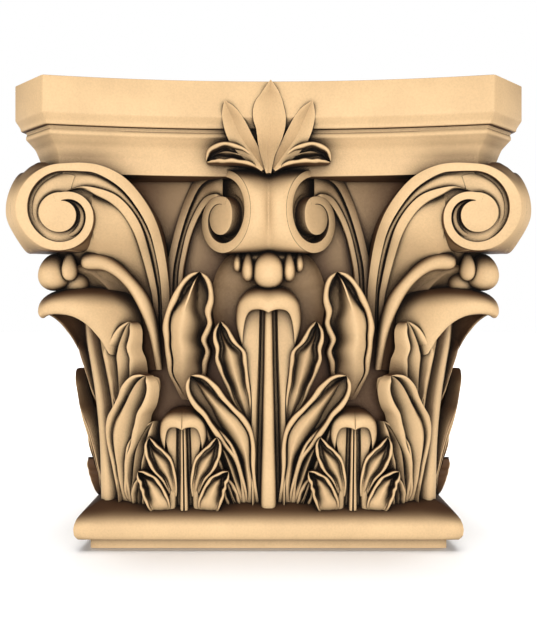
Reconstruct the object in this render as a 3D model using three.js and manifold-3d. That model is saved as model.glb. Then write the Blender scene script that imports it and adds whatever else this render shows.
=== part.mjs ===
// A Corinthian capital for a square pillar, carved from one block of stone.
// Millimetres, +Z up, the front face looks along -Y and the underside is Z = 0.
// One eighth of the carving is described, then mirrored and turned on to all four sides.
//
// Points are written [along, depth, height]: along runs sideways over a face of the bell,
// depth is the distance in front of the pillar's axis, and height is Z.
import * as THREE from "three";
import { mergeVertices } from "three/addons/utils/BufferGeometryUtils.js";
import Module from "manifold-3d";

const wasm = await Module();
wasm.setup();

// ---- driving dimensions ----
const SIDES = 4;
const PILLAR_HALF = 150; // the square pillar is 300 mm wide
const HEIGHT = 381.8;

// Abacus: four hollow sides between cut-off horns.
const ABACUS_HALF = 205.3; // from the axis to a horn's front corner
const HORN_CHAMFER = 379.5; // |x| + |y| along the cut-off end of a horn
const ABACUS_SAG = 17.8; // hollow at the middle of a side
const ABACUS_STEPS = 6; // straight steps along one hollow side
const ABACUS_PROFILE = [
  // [height, set back from the crown]
  [HEIGHT, 0],
  [353.3, 0],
  [348.3, 3.5],
  [345.2, 4.8],
  [343.8, 8],
  [337.4, 8.3],
  [330, 15],
  [322, 18],
  [309.3, 18.4],
];

// Base moulding: a square fillet under a roll.
const BASE_PROFILE = [
  // [height, half width]
  [0, PILLAR_HALF],
  [8.8, PILLAR_HALF],
  [9.6, 158.2],
  [14, 161],
  [18.9, 161.7],
  [26.7, 159.7],
  [33.3, 153.6],
  [39.2, 142.8],
];

// Bell: a square core with rounded corners that flares under the abacus.
const BELL_PROFILE = [
  // [height, half width]
  [36, 129],
  [230, 130],
  [290, 137],
  [315, 146],
];
const BELL_CORNER = 37; // radius that the leaves wrap round at a corner
const BELL_CORNER_STEPS = 2;

// Leaves: a sheet with a midrib and folded lobes on both sides, and a hooded tip.
const LEAF_BACK = 124; // depth of every leaf's back, inside the bell
const BIG_LEAF = {
  lobes: [
    // root holds the heights on the midrib where its lower and upper rims start
    {
      path: [[17, 149, 34], [27, 152, 62], [40, 157, 88], [50, 158, 104]],
      halfWidth: 9,
      root: [34, 60],
    },
    {
      path: [[14, 150, 68], [26, 155, 96], [42, 165, 120], [62, 171, 144]],
      halfWidth: 14,
      root: [72, 102],
    },
    {
      path: [[12, 151, 110], [22, 156, 138], [31, 163, 166], [38, 163, 188]],
      halfWidth: 14,
      root: [114, 146],
    },
  ],
  neck: { height: 206, depth: 160, half: 19 },
  hood: { scale: 1, foot: 171, root: 158, reach: 23 },
};
const CORNER_LEAF = { ...BIG_LEAF, hood: { scale: 1.08, foot: 165, root: 160, reach: 33 } };
const SMALL_LEAF_OFFSET = 70.6; // from the middle of a face to the small leaf's midrib
const SMALL_LEAF = {
  lobes: [
    { path: [[10, 154, 26], [24, 158, 48], [37, 161, 64]], halfWidth: 10, root: [34, 48] },
    { path: [[7, 156, 52], [15, 159, 73], [28, 162, 95]], halfWidth: 10, root: [56, 74] },
  ],
  neck: { height: 106, depth: 160, half: 13 },
  hood: { scale: 0.72, foot: 83, root: 157, reach: 15 },
};
const HOOD_OUTER = [[22.5, 0], [27, 27], [22, 43], [0, 50]]; // [along, above its foot], left half
const HOOD_INNER = [[19.5, 3], [18.4, 24], [13, 30], [0, 28]];
const HOOD_STEPS = 4; // steps along each half of a hood
const HOOD_ROOT = 6; // how far a hood is let into its leaf
const LOBE_STATIONS = [0.1, 0.4, 0.7, 0.9, 1]; // where a lobe is measured along its path
const MIDRIB = 4; // how far the midrib stands forward
// Across a lobe: 1 is its lower edge and -1 its upper one, each with a lift from the lobe's path.
const LOBE_SHARES = [1, 0.75, 0.35, 0, -0.35, -0.75, -1];
const LOBE_LIFTS = [-3, 2, -4, 0.5, -4, 2, -3];
const GAP = 13; // how far the ground between two lobes lies behind their rims

// Sheath leaf that the stalks grow from: [along, depth, height, half width].
const SHEATH_FOLDS = [
  // [share of the half width, lift]
  [-1, -2],
  [-0.55, -6],
  [0, 3],
  [0.5, -5],
  [1, 1],
];
const SHEATH = [
  [-66, 144, 126, 4],
  [-66, 152, 152, 14],
  [-66, 158, 180, 20],
  [-65, 164, 204, 21],
  [-60, 165, 229, 12],
];

// Spirals: radius at each quarter turn, from the top of the stalk inwards.
const VOLUTE = {
  centre: [-159.6, 206, 275],
  radii: [38.4, 33, 28.4, 25.3, 16.5],
  rim: 8,
  relief: 6,
};
const HORN_BACK = 128; // depth on the diagonal of a horn's back, inside the bell
const HORN_CREST = 5; // how far the band between a horn's two spirals rises at its top
const HORN_WEB = [
  // [height, along at the stalk, depth at the stalk, depth on the diagonal]
  [190, -98, 132, 142],
  [240, -104, 150, 160],
  [300, -116, 180, 190],
];
const VOLUTE_STALK = {
  outer: [[-159, 206, 313], [-129, 197, 313], [-102, 181, 293], [-87.3, 161, 255], [-84, 144, 200]],
  inner: [[-159, 206, 292], [-139, 200, 288], [-114, 184, 266], [-106, 166, 247], [-101, 146, 200]],
};
const HELIX = {
  centre: [-38, 166, 278],
  radii: [37.7, 34, 30.3, 27, 19.6],
  rim: 8,
  relief: 6,
};
const HELIX_BACK = 120; // depth of the back of the two helices' core, inside the bell
const HELIX_STALK = {
  outer: [[-38, 166, 315.7], [-61, 149, 312], [-70.5, 143, 297], [-84, 142, 254], [-87, 141, 215]],
  inner: [[-38, 166, 294], [-52, 152, 292], [-56, 146, 280], [-68, 141, 250], [-72, 141, 215]],
};
const SPIRAL_STEPS_PER_TURN = 16;
const CORE_STEPS = 8;
const CORE_ENDS = [0.06 * Math.PI, 0.94 * Math.PI]; // a core's first and last angle from the top
const STALK_BACK = 30; // how far a volute's stalk reaches back
const HELIX_STALK_BACK = 20;
const STALK_CHANNEL = 4; // depth of a stalk's channel
const STALK_STEPS = 8;

// Upper leaves: one at each corner and one in the middle of each face.
const CORNER_ROLL = [[-93, 146, 150], [-98, 151, 190], [-114, 160, 222], [-137, 170, 240], [-154, 178, 240]];
const FACE_FROND = [[-46, 150, 196], [-48, 153, 212], [-45, 156, 230], [-32, 162, 245], [-14, 172, 249]];
const ROLL_RADIUS = 7;
// Balls at the leaves' tips: middle [along, depth, height], then half sizes the same way.
const CORNER_BALL = [[0, 176, 230], [12, 9, 14]];
const FACE_BALL = [[0, 173, 233.5], [12, 9, 15.5]];
const FACE_FINGER = [[-19, 167, 238], [11, 9, 11]];
const BALL_SIDES = 6;
const BALL_RINGS = 4;
const CORNER_DIP = [[138, 142], [146, 186], [154, 212], [166, 228], [178, 234]]; // [depth, height]
const FACE_DIP = [[150, 196], [155, 212], [159, 228], [165, 240], [174, 247]];

// Palmette on the abacus.
const PALMETTE_BACK = 24;
const PALMETTE = [
  { path: [[0, 186, 312], [1, 191, 345], [1.5, 192, 379]], halfWidth: 13 },
  { path: [[-4, 186, 314], [-21, 191, 337], [-35, 191, 364]], halfWidth: 9.5 },
  { path: [[-6, 184, 314], [-24, 187, 325], [-47, 182, 322]], halfWidth: 8 },
];

// Facets of the finished solid, and what the joining of facets keeps.
const FACETS = 11000;
const SHORT_EDGE_WEIGHT = 1e-4;
const FIRM_SHARE = 1e-4; // least determinant, for its size, of a quadric that names a point
const TURN_LIMIT = 0.2; // least cosine between a facet's old and new directions
const THIN_LIMIT = 0.01; // least doubled area of a facet over its longest edge squared
const PASS_SHARE = 0.05;
const TINY_EDGE = 0.1; // an edge under this length always goes

// ---- helpers ----

// A closed solid from a three.js geometry, turned outward if its faces look in.
function solid(geometry) {
  const bare = geometry.clone();
  bare.deleteAttribute("normal");
  bare.deleteAttribute("uv");
  const merged = mergeVertices(bare, 1e-3);
  const corners = (flip) => {
    const triVerts = new Uint32Array(merged.index.array);
    for (let i = 0; flip && i < triVerts.length; i += 3) {
      [triVerts[i + 1], triVerts[i + 2]] = [triVerts[i + 2], triVerts[i + 1]];
    }
    return triVerts;
  };
  const build = (flip) =>
    new wasm.Manifold(
      new wasm.Mesh({
        numProp: 3,
        vertProperties: merged.attributes.position.array,
        triVerts: corners(flip),
      }),
    );
  const made = build(false);
  return made.volume() < 0 ? build(true) : made;
}

// A cylinder whose rings are moved on to the given sections, each a closed ring of points.
function loft(sections, place = onFace()) {
  const around = sections[0].length;
  const geometry = new THREE.CylinderGeometry(1, 1, 1, around, sections.length - 1);
  const position = geometry.attributes.position;
  const rings = sections.map((ring) => ring.map((point) => place(...point)));
  const middle = (ring) =>
    ring.reduce((sum, point) => sum.add(point), new THREE.Vector3()).divideScalar(ring.length);
  let index = 0;
  const put = (point) => position.setXYZ(index++, point.x, point.y, point.z);
  for (const ring of rings) {
    for (let i = 0; i <= around; i++) put(ring[i % around]);
  }
  for (const ring of [rings[0], rings[rings.length - 1]]) {
    for (let i = 0; i < around; i++) put(middle(ring));
    for (let i = 0; i <= around; i++) put(ring[i % around]);
  }
  return solid(geometry);
}

// Places on a flat face, with along measured from the given line.
function onFace(line = 0) {
  return (along, depth, height) => new THREE.Vector3(line + along, -depth, height);
}

// Places wrapped round the front left corner: positive along runs on to the front face.
function roundCorner(along, depth, height) {
  const core = depth - BELL_CORNER;
  const bend = (BELL_CORNER * Math.PI) / 4;
  const turned = THREE.MathUtils.clamp(along, -bend, bend) / BELL_CORNER;
  const angle = (5 * Math.PI) / 4 + turned;
  const past = Math.max(Math.abs(along) - bend, 0);
  const x = -core + BELL_CORNER * Math.cos(angle) + (along > 0 ? past : 0);
  const y = -core + BELL_CORNER * Math.sin(angle) + (along < 0 ? past : 0);
  return new THREE.Vector3(x, y, height);
}

// The mirror image of a placing rule: across the middle of the front face.
function mirrored(place) {
  return (along, depth, height) => place(-along, depth, height);
}

// The mirror image across the diagonal through the front left corner.
function acrossCorner(along, depth, height) {
  return new THREE.Vector3(-depth, along, height);
}

function curve(points) {
  return new THREE.CatmullRomCurve3(points.map((point) => new THREE.Vector3(...point)));
}

// Radius of a spiral after a number of quarter turns.
function spiralRadius(radii, quarters) {
  const last = radii.length - 1;
  const step = Math.min(Math.floor(quarters), last - 1);
  return THREE.MathUtils.lerp(radii[step], radii[step + 1], quarters - step);
}

const steps = (count) => Array.from({ length: count + 1 }, (_, i) => i / count);

// ---- leaf parts ----

// The line that runs along a lobe at one share of its width.
function lobeLine({ path, halfWidth }, share) {
  const spine = curve(path);
  const lift = LOBE_LIFTS[LOBE_SHARES.indexOf(share)];
  return LOBE_STATIONS.map((t) => {
    const p = spine.getPoint(t);
    const tangent = spine.getTangent(t);
    const across = new THREE.Vector3(tangent.z, 0, -tangent.x).normalize();
    const width = halfWidth * share * Math.sin(Math.PI * (0.2 + 0.7 * t));
    return [p.x + across.x * width, p.y + lift, p.z + across.z * width];
  });
}

// The sunk line half way between two lines.
function gapLine(below, above) {
  return below.map(([along, depth, height], i) => [
    (along + above[i][0]) / 2,
    Math.min(depth, above[i][1]) - (i > 0 ? GAP : 0),
    (height + above[i][2]) / 2,
  ]);
}

// The body of a leaf: one closed sheet lofted line by line from its foot to its neck.
function leafSheet({ lobes, neck }, place) {
  const lines = [];
  for (const shape of lobes) {
    const [low, high] = shape.root;
    const rims = LOBE_SHARES.map((share) => {
      const height = THREE.MathUtils.lerp(low, high, (1 - share) / 2);
      return [[0, shape.path[0][1] + MIDRIB, height], ...lobeLine(shape, share)];
    });
    if (lines.length > 0) lines.push(gapLine(lines[lines.length - 1], rims[0]));
    lines.push(...rims);
  }
  const top = steps(LOBE_STATIONS.length).map((share) => [
    neck.half * share,
    neck.depth + (share > 0 ? 0 : MIDRIB),
    neck.height,
  ]);
  lines.push(gapLine(lines[lines.length - 1], top), top);
  const sections = lines.map((line) => {
    const tip = line[line.length - 1];
    const mirror = line.slice(1).map(([along, depth, height]) => [-along, depth, height]);
    return [...mirror.reverse(), ...line, [tip[0], LEAF_BACK, tip[2]], [-tip[0], LEAF_BACK, tip[2]]];
  });
  return loft(sections, place);
}

// One free blade: raised rims with a hollow between them, narrowing to its tip.
function blade({ path, halfWidth }, place, back) {
  const lines = LOBE_SHARES.map((share) => lobeLine({ path, halfWidth }, share));
  const behind = ([along, depth, height]) => [along, depth - back, height];
  const sections = LOBE_STATIONS.map((_, i) => {
    const front = lines.map((line) => line[i]);
    return [behind(front[0]), ...front, behind(front[front.length - 1])];
  });
  return loft(sections, place);
}

// The tip of a leaf, curled forward and down over the midrib.
function hood({ scale, foot, root, reach }, place) {
  const rise = (points) => curve(points.map(([along, up]) => [-along * scale, 0, foot + up * scale]));
  const outer = rise(HOOD_OUTER);
  const inner = rise(HOOD_INNER);
  const half = steps(HOOD_STEPS).map((t) => {
    const out = outer.getPoint(t);
    const under = inner.getPoint(t);
    const forward = reach * (0.15 + 0.85 * Math.sin((t * Math.PI) / 2));
    const crest = out.clone().lerp(under, 0.25);
    const inside = out.clone().lerp(under, 0.45);
    return [
      [out.x, root - HOOD_ROOT, out.z],
      [crest.x, root + 0.7 * forward, crest.z],
      [under.x, root + forward, under.z],
      [inside.x, root - HOOD_ROOT, inside.z],
    ];
  });
  const other = half.slice(0, -1).map((ring) => ring.map(([along, depth, z]) => [-along, depth, z]));
  return loft([...half, ...other.reverse()], place);
}

function leaf(shape, place) {
  return [leafSheet(shape, place), hood(shape.hood, place)];
}

function sheathLeaf(place) {
  const sections = SHEATH.map(([along, depth, height, half]) => [
    [along - half, LEAF_BACK, height],
    ...SHEATH_FOLDS.map(([share, lift]) => [along + half * share, depth + lift, height]),
    [along + half, LEAF_BACK, height],
  ]);
  return loft(sections, place);
}

// ---- spirals ----

// A raised rim that winds inward on a vertical plane. right is the plane's sideways direction.
function spiralRim({ centre, radii, rim, relief }, right, facing) {
  const quarters = radii.length - 1;
  const count = Math.round((quarters * SPIRAL_STEPS_PER_TURN) / SIDES);
  const middle = new THREE.Vector3(centre[0], -centre[1], centre[2]);
  const sections = steps(count).map((t) => {
    const turned = t * quarters;
    const angle = (turned * Math.PI) / 2;
    const radius = spiralRadius(radii, turned);
    const width = rim * (1 - 0.45 * t);
    const ray = right.clone().multiplyScalar(Math.sin(angle)).setZ(Math.cos(angle));
    const at = (distance, lift) =>
      middle.clone().addScaledVector(ray, distance).addScaledVector(facing, lift).toArray();
    return [at(radius, -relief - 2), at(radius, 0), at(radius - width, 0), at(radius - width, -relief - 2)];
  });
  return loft(sections, (x, y, z) => new THREE.Vector3(x, y, z));
}

// Half widths of a spiral's outline at a height above its centre: [leading side, trailing side].
function spiralReach(radii, angle) {
  const radius = spiralRadius(radii, (2 * angle) / Math.PI);
  const trailing = radii[3];
  const height = radius * Math.cos(angle);
  const tall = height > 0 ? radii[0] : radii[2];
  return {
    height,
    leading: radius * Math.sin(angle),
    trailing: trailing * Math.sqrt(Math.max(1 - (height / tall) ** 2, 0)),
  };
}

// The two spirals of a horn share one core, flat on both faces, with a band across the corner.
function hornCore() {
  const [x, depth, z] = VOLUTE.centre;
  const face = depth - VOLUTE.relief;
  const flip = ([a, b, h]) => [-b, -a, h];
  const sections = steps(CORE_STEPS).map((t) => {
    const angle = THREE.MathUtils.lerp(...CORE_ENDS, t);
    const reach = spiralReach(VOLUTE.radii, angle);
    const level = z + reach.height;
    const near = [x + reach.trailing, face, level];
    const far = [x - reach.leading, face, level];
    const corner = (face - far[0]) / 2;
    const ridge = [-corner, corner, level + HORN_CREST * (1 - t)];
    return [near, far, ridge, flip(far), flip(near), [-HORN_BACK, HORN_BACK, level]];
  });
  return loft(sections);
}

// Plain web under the horn, between the two stalks.
function hornWeb() {
  const sections = HORN_WEB.map(([height, along, depth, corner]) => [
    [along, depth, height],
    [-corner, corner, height],
    [-depth, -along, height],
    [-HORN_BACK, HORN_BACK, height],
  ]);
  return loft(sections);
}

// The two helices of a face share one core, with a barrel where they meet.
function helixCore() {
  const [x, depth, z] = HELIX.centre;
  const slope = Math.SQRT1_2;
  const sections = steps(CORE_STEPS).map((t) => {
    const angle = THREE.MathUtils.lerp(...CORE_ENDS, t);
    const reach = spiralReach(HELIX.radii, angle);
    const height = z + reach.height;
    const set = HELIX.relief * slope;
    const near = [x + reach.leading * slope + set, depth + reach.leading * slope - set, height];
    const far = [x - reach.trailing * slope + set, depth - reach.trailing * slope - set, height];
    const flip = ([a, b, h]) => [-a, b, h];
    const behind = [far[0], HELIX_BACK, height];
    return [behind, far, near, flip(near), flip(far), flip(behind)];
  });
  return loft(sections);
}

// Stalk band: a rim, a channel and a rim, between an outer and an inner edge.
function stalk({ outer, inner }, place, back) {
  const outside = curve(outer);
  const inside = curve(inner);
  const sections = steps(STALK_STEPS).map((t) => {
    const a = outside.getPoint(t);
    const b = inside.getPoint(t);
    const at = (share, lift) => {
      const p = a.clone().lerp(b, share);
      return [p.x, p.y + lift, p.z];
    };
    return [at(0, -back), at(0, 0), at(0.5, -STALK_CHANNEL), at(1, 0), at(1, -back)];
  });
  return loft(sections, place);
}

// ---- upper leaves ----

function ball([[along, depth, height], [wide, deep, tall]], place) {
  const geometry = new THREE.SphereGeometry(1, BALL_SIDES, BALL_RINGS);
  const position = geometry.attributes.position;
  for (let i = 0; i < position.count; i++) {
    const p = place(
      along + wide * position.getX(i),
      depth + deep * position.getZ(i),
      height + tall * position.getY(i),
    );
    position.setXYZ(i, p.x, p.y, p.z);
  }
  return solid(geometry);
}

function cornerUpperLeaf() {
  const edge = curve(CORNER_ROLL);
  const flip = ([along, depth, height]) => [-depth, -along, height];
  const sections = CORNER_DIP.map(([corner, height], i) => {
    const p = edge.getPoint(i / (CORNER_DIP.length - 1));
    const rolled = [
      [p.x + ROLL_RADIUS, p.y - ROLL_RADIUS, p.z],
      [p.x, p.y + ROLL_RADIUS / 2, p.z],
      [p.x - ROLL_RADIUS, p.y - ROLL_RADIUS / 2, p.z - ROLL_RADIUS / 2],
    ];
    const other = rolled.map(flip).reverse();
    return [...rolled, [-corner, corner, height], ...other, [-LEAF_BACK, LEAF_BACK, p.z]];
  });
  const onDiagonal = (along, depth, height) =>
    new THREE.Vector3(-depth + along * Math.SQRT1_2, -depth - along * Math.SQRT1_2, height);
  return [loft(sections), ball(CORNER_BALL, onDiagonal)];
}

function faceUpperLeaf() {
  const edge = curve(FACE_FROND);
  const sections = FACE_DIP.map(([depth, height], i) => {
    const p = edge.getPoint(i / (FACE_DIP.length - 1));
    return [
      [p.x, p.y, p.z],
      [0, depth, height],
      [-p.x, p.y, p.z],
      [-p.x, LEAF_BACK, p.z],
      [p.x, LEAF_BACK, p.z],
    ];
  });
  const fingers = [onFace(), mirrored(onFace())].map((place) => ball(FACE_FINGER, place));
  return [loft(sections), ball(FACE_BALL, onFace()), ...fingers];
}

// ---- mouldings ----

function abacus() {
  const sections = ABACUS_PROFILE.map(([height, setBack]) => {
    const half = ABACUS_HALF - setBack;
    const end = HORN_CHAMFER - Math.SQRT2 * setBack - half;
    const side = steps(ABACUS_STEPS).map((t) => {
      const along = THREE.MathUtils.lerp(-end, end, t);
      return [along, half - ABACUS_SAG * (1 - (along / end) ** 2)];
    });
    return turnedRing(side, height);
  });
  return loft(sections);
}

// A ring of all four sides from the points [along, depth] of the front one.
function turnedRing(side, height) {
  const ring = [];
  for (let k = 0; k < SIDES; k++) {
    const angle = (k * 2 * Math.PI) / SIDES;
    for (const [along, depth] of side) {
      const x = along * Math.cos(angle) + depth * Math.sin(angle);
      const y = along * Math.sin(angle) - depth * Math.cos(angle);
      ring.push([x, -y, height]);
    }
  }
  return ring;
}

function baseMoulding() {
  return loft(BASE_PROFILE.map(([height, half]) => turnedRing([[half, half]], height)));
}

function bell() {
  const sections = BELL_PROFILE.map(([height, half]) => {
    const corner = steps(BELL_CORNER_STEPS).map((t) => {
      const angle = (t * Math.PI) / 2;
      return [
        half - BELL_CORNER * (1 - Math.sin(angle)),
        half - BELL_CORNER * (1 - Math.cos(angle)),
      ];
    });
    return turnedRing(corner, height);
  });
  return loft(sections);
}

// ---- the capital ----

// Everything that repeats on each side: the front face and the corner at its left.
function sidePieces() {
  const front = onFace();
  const halves = [front, mirrored(front)];
  const x = new THREE.Vector3(1, 0, 0);
  const y = new THREE.Vector3(0, 1, 0);
  const slanted = new THREE.Vector3(Math.SQRT1_2, -Math.SQRT1_2, 0);
  const slantFacing = new THREE.Vector3(-Math.SQRT1_2, -Math.SQRT1_2, 0);
  const flipX = (vector) => vector.clone().setX(-vector.x);
  const helixRight = { ...HELIX, centre: [-HELIX.centre[0], HELIX.centre[1], HELIX.centre[2]] };
  const sideVolute = { ...VOLUTE, centre: [-VOLUTE.centre[1], -VOLUTE.centre[0], VOLUTE.centre[2]] };
  return [
    ...leaf(BIG_LEAF, front),
    ...leaf(CORNER_LEAF, roundCorner),
    ...leaf(SMALL_LEAF, onFace(-SMALL_LEAF_OFFSET)),
    ...leaf(SMALL_LEAF, onFace(SMALL_LEAF_OFFSET)),
    ...halves.map(sheathLeaf),
    ...halves.map((place) => stalk(HELIX_STALK, place, HELIX_STALK_BACK)),
    stalk(VOLUTE_STALK, front, STALK_BACK),
    stalk(VOLUTE_STALK, acrossCorner, STALK_BACK),
    hornCore(),
    hornWeb(),
    helixCore(),
    spiralRim(VOLUTE, x.clone().negate(), y.clone().negate()),
    spiralRim(sideVolute, y.clone().negate(), x.clone().negate()),
    spiralRim(HELIX, slanted, slantFacing),
    spiralRim(helixRight, flipX(slanted), flipX(slantFacing)),
    ...cornerUpperLeaf(),
    ...faceUpperLeaf(),
    ...PALMETTE.map((shape) => blade(shape, front, PALMETTE_BACK)),
    ...PALMETTE.slice(1).map((shape) => blade(shape, mirrored(front), PALMETTE_BACK)),
  ];
}

function join(solids) {
  return solids.reduce((whole, piece) => whole.add(piece));
}

function capital() {
  const side = join(sidePieces());
  const sides = Array.from({ length: SIDES }, (_, k) => side.rotate([0, 0, (k * 360) / SIDES]));
  return join([bell(), abacus(), baseMoulding(), ...sides]);
}

// Plane quadrics: the ten numbers of a symmetric 4 x 4 matrix that gives the squared distance
// from a point to a set of planes, weighted by the area of each facet.
function facetQuadric(a, b, c) {
  const normal = b.clone().sub(a).cross(c.clone().sub(a));
  const area = normal.length() / 2;
  if (area === 0) return new Float64Array(10);
  normal.normalize();
  const { x, y, z } = normal;
  const w = -normal.dot(a);
  return Float64Array.of(x * x, x * y, x * z, x * w, y * y, y * z, y * w, z * z, z * w, w * w).map(
    (value) => value * area,
  );
}

function quadricError(q, { x, y, z }) {
  return (
    q[0] * x * x + q[4] * y * y + q[7] * z * z + q[9] +
    2 * (q[1] * x * y + q[2] * x * z + q[5] * y * z + q[3] * x + q[6] * y + q[8] * z)
  );
}

// The point where a quadric is least, or null where that point isn't certain.
function quadricPoint(q) {
  const matrix = new THREE.Matrix3(q[0], q[1], q[2], q[1], q[4], q[5], q[2], q[5], q[7]);
  const size = q[0] + q[4] + q[7];
  if (Math.abs(matrix.determinant()) < FIRM_SHARE * size ** 3) return null;
  return new THREE.Vector3(-q[3], -q[6], -q[8]).applyMatrix3(matrix.invert());
}

// Joins facets of a closed solid, least change first, until it has the given number of them.
function reduceFacets(shape, target) {
  const { vertProperties, triVerts } = shape.getMesh();
  const points = [];
  for (let i = 0; i < vertProperties.length; i += 3) {
    points.push(new THREE.Vector3().fromArray(vertProperties, i));
  }
  const facets = [];
  for (let i = 0; i < triVerts.length; i += 3) facets.push([...triVerts.subarray(i, i + 3)]);
  const around = points.map(() => new Set());
  const quadrics = points.map(() => new Float64Array(10));
  facets.forEach((facet, f) => {
    const quadric = facetQuadric(...facet.map((v) => points[v]));
    for (const v of facet) {
      around[v].add(f);
      quadric.forEach((value, i) => (quadrics[v][i] += value));
    }
  });
  const neighbours = (v) => new Set([...around[v]].flatMap((f) => facets[f]).filter((u) => u !== v));
  const stamps = points.map(() => 0);
  const queue = [];
  const offer = (a, b) => {
    const q = quadrics[a].map((value, i) => value + quadrics[b][i]);
    const middle = points[a].clone().lerp(points[b], 0.5);
    const choices = [points[a], points[b], middle];
    const best = quadricPoint(q);
    if (best && best.distanceTo(middle) < 2 * points[a].distanceTo(points[b])) choices.push(best);
    const scored = choices.map((point) => ({ point, error: quadricError(q, point) }));
    const { point, error } = scored.reduce((least, next) => (next.error < least.error ? next : least));
    const cost = error + SHORT_EDGE_WEIGHT * points[a].distanceToSquared(points[b]);
    queue.push({ a, b, point: point.clone(), cost, stamp: stamps[a] + stamps[b] });
  };
  const keepsShape = (v, other, point) =>
    [...around[v]].every((f) => {
      const facet = facets[f];
      if (facet.includes(other)) return true;
      const before = facet.map((u) => points[u]);
      const after = facet.map((u) => (u === v ? point : points[u]));
      const [n0, n1] = [before, after].map(([p, q, r]) => q.clone().sub(p).cross(r.clone().sub(p)));
      const longest = Math.max(...after.map((p, i) => p.distanceTo(after[(i + 1) % 3])));
      return n1.dot(n0) > TURN_LIMIT * n0.length() * n1.length() && n1.length() > THIN_LIMIT * longest ** 2;
    });
  points.forEach((_, v) => neighbours(v).forEach((u) => u > v && offer(v, u)));
  let count = facets.length;
  while (count > target && queue.length > 0) {
    // Each pass takes the cheaper share of the edges that are still as they were when offered.
    queue.sort((one, two) => one.cost - two.cost);
    const batch = queue.splice(0, Math.ceil(queue.length * PASS_SHARE));
    for (const { a, b, point, stamp } of batch) {
      if (count <= target || !around[a].size || !around[b].size || stamps[a] + stamps[b] !== stamp) continue;
      const shared = [...neighbours(a)].filter((u) => neighbours(b).has(u));
      const tiny = points[a].distanceTo(points[b]) < TINY_EDGE;
      if (shared.length !== 2) continue;
      if (!tiny && !(keepsShape(a, b, point) && keepsShape(b, a, point))) continue;
      for (const f of [...around[b]]) {
        if (facets[f].includes(a)) {
          facets[f].forEach((u) => around[u].delete(f));
          count -= 1;
        } else {
          facets[f] = facets[f].map((u) => (u === b ? a : u));
          around[a].add(f);
        }
      }
      around[b].clear();
      points[a].copy(point);
      quadrics[b].forEach((value, i) => (quadrics[a][i] += value));
      stamps[a] += 1;
      stamps[b] += 1;
      neighbours(a).forEach((u) => {
        stamps[u] += 1;
      });
      neighbours(a).forEach((u) => neighbours(u).forEach((w) => offer(u, w)));
    }
  }
  const kept = facets.filter((facet, f) => around[facet[0]].has(f));
  const geometry = new THREE.BufferGeometry().setFromPoints(kept.flat().map((v) => points[v]));
  return solid(geometry);
}

// A mesh from a manifold solid.
function meshOf(name, shape, material) {
  const { vertProperties, triVerts } = shape.getMesh();
  const geometry = new THREE.BufferGeometry();
  geometry.setAttribute("position", new THREE.BufferAttribute(vertProperties, 3));
  geometry.setIndex(new THREE.BufferAttribute(triVerts, 1));
  geometry.computeVertexNormals();
  const mesh = new THREE.Mesh(geometry, material);
  mesh.name = name;
  return mesh;
}

const stone = new THREE.MeshStandardMaterial({ color: "#c9a377", roughness: 0.8, metalness: 0 });
const part = new THREE.Group();
part.add(meshOf("capital", reduceFacets(capital(), FACETS), stone));

export default part;
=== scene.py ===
"""A carved stone Corinthian capital for a square pillar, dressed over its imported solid.

Sizes are in millimetres until a piece is built, and a point of the carving is
(along, depth, height): along runs sideways over a face of the bell, depth is the distance in
front of the pillar's axis, and height is Z. One eighth is described and repeated on four sides.
"""

import logging
import math
from collections.abc import Callable, Sequence
from dataclasses import dataclass, field, replace

import bpy
import numpy as np
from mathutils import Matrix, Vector


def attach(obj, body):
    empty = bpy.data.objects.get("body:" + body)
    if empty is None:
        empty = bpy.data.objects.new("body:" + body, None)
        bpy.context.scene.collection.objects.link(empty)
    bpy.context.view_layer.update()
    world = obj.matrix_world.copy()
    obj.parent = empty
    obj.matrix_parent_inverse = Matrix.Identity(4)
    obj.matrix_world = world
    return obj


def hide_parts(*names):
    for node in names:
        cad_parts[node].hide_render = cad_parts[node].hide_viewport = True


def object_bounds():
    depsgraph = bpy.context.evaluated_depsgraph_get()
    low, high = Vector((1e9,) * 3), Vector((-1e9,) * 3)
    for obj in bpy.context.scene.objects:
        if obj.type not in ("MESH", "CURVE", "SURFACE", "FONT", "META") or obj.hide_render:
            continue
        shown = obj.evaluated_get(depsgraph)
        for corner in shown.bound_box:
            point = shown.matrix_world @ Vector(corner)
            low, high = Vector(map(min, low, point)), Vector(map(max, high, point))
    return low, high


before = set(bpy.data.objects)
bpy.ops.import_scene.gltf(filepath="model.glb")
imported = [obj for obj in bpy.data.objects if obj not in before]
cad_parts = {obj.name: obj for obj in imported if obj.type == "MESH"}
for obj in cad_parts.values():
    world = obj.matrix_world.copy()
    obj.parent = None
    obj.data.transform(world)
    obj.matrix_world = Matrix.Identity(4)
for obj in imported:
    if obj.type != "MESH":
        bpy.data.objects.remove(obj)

log = logging.getLogger("capital")
CAD_BOX = [[float(value) for value in corner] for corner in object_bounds()]

MM = 0.001
SIDES = 4
CAD_NODE = "capital"
SLANT = math.sqrt(0.5)  # sine and cosine of a corner's diagonal
LEFT_RIGHT = np.array([-1.0, 1.0, 1.0])  # mirrors points in the middle of the front face
LEAF_BACK = 124.0  # depth of the leaves' hidden backs, inside the bell

Points = np.ndarray
Place = Callable[[Points], Points]


# ---------------------------------------------------------------- curves and places


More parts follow.
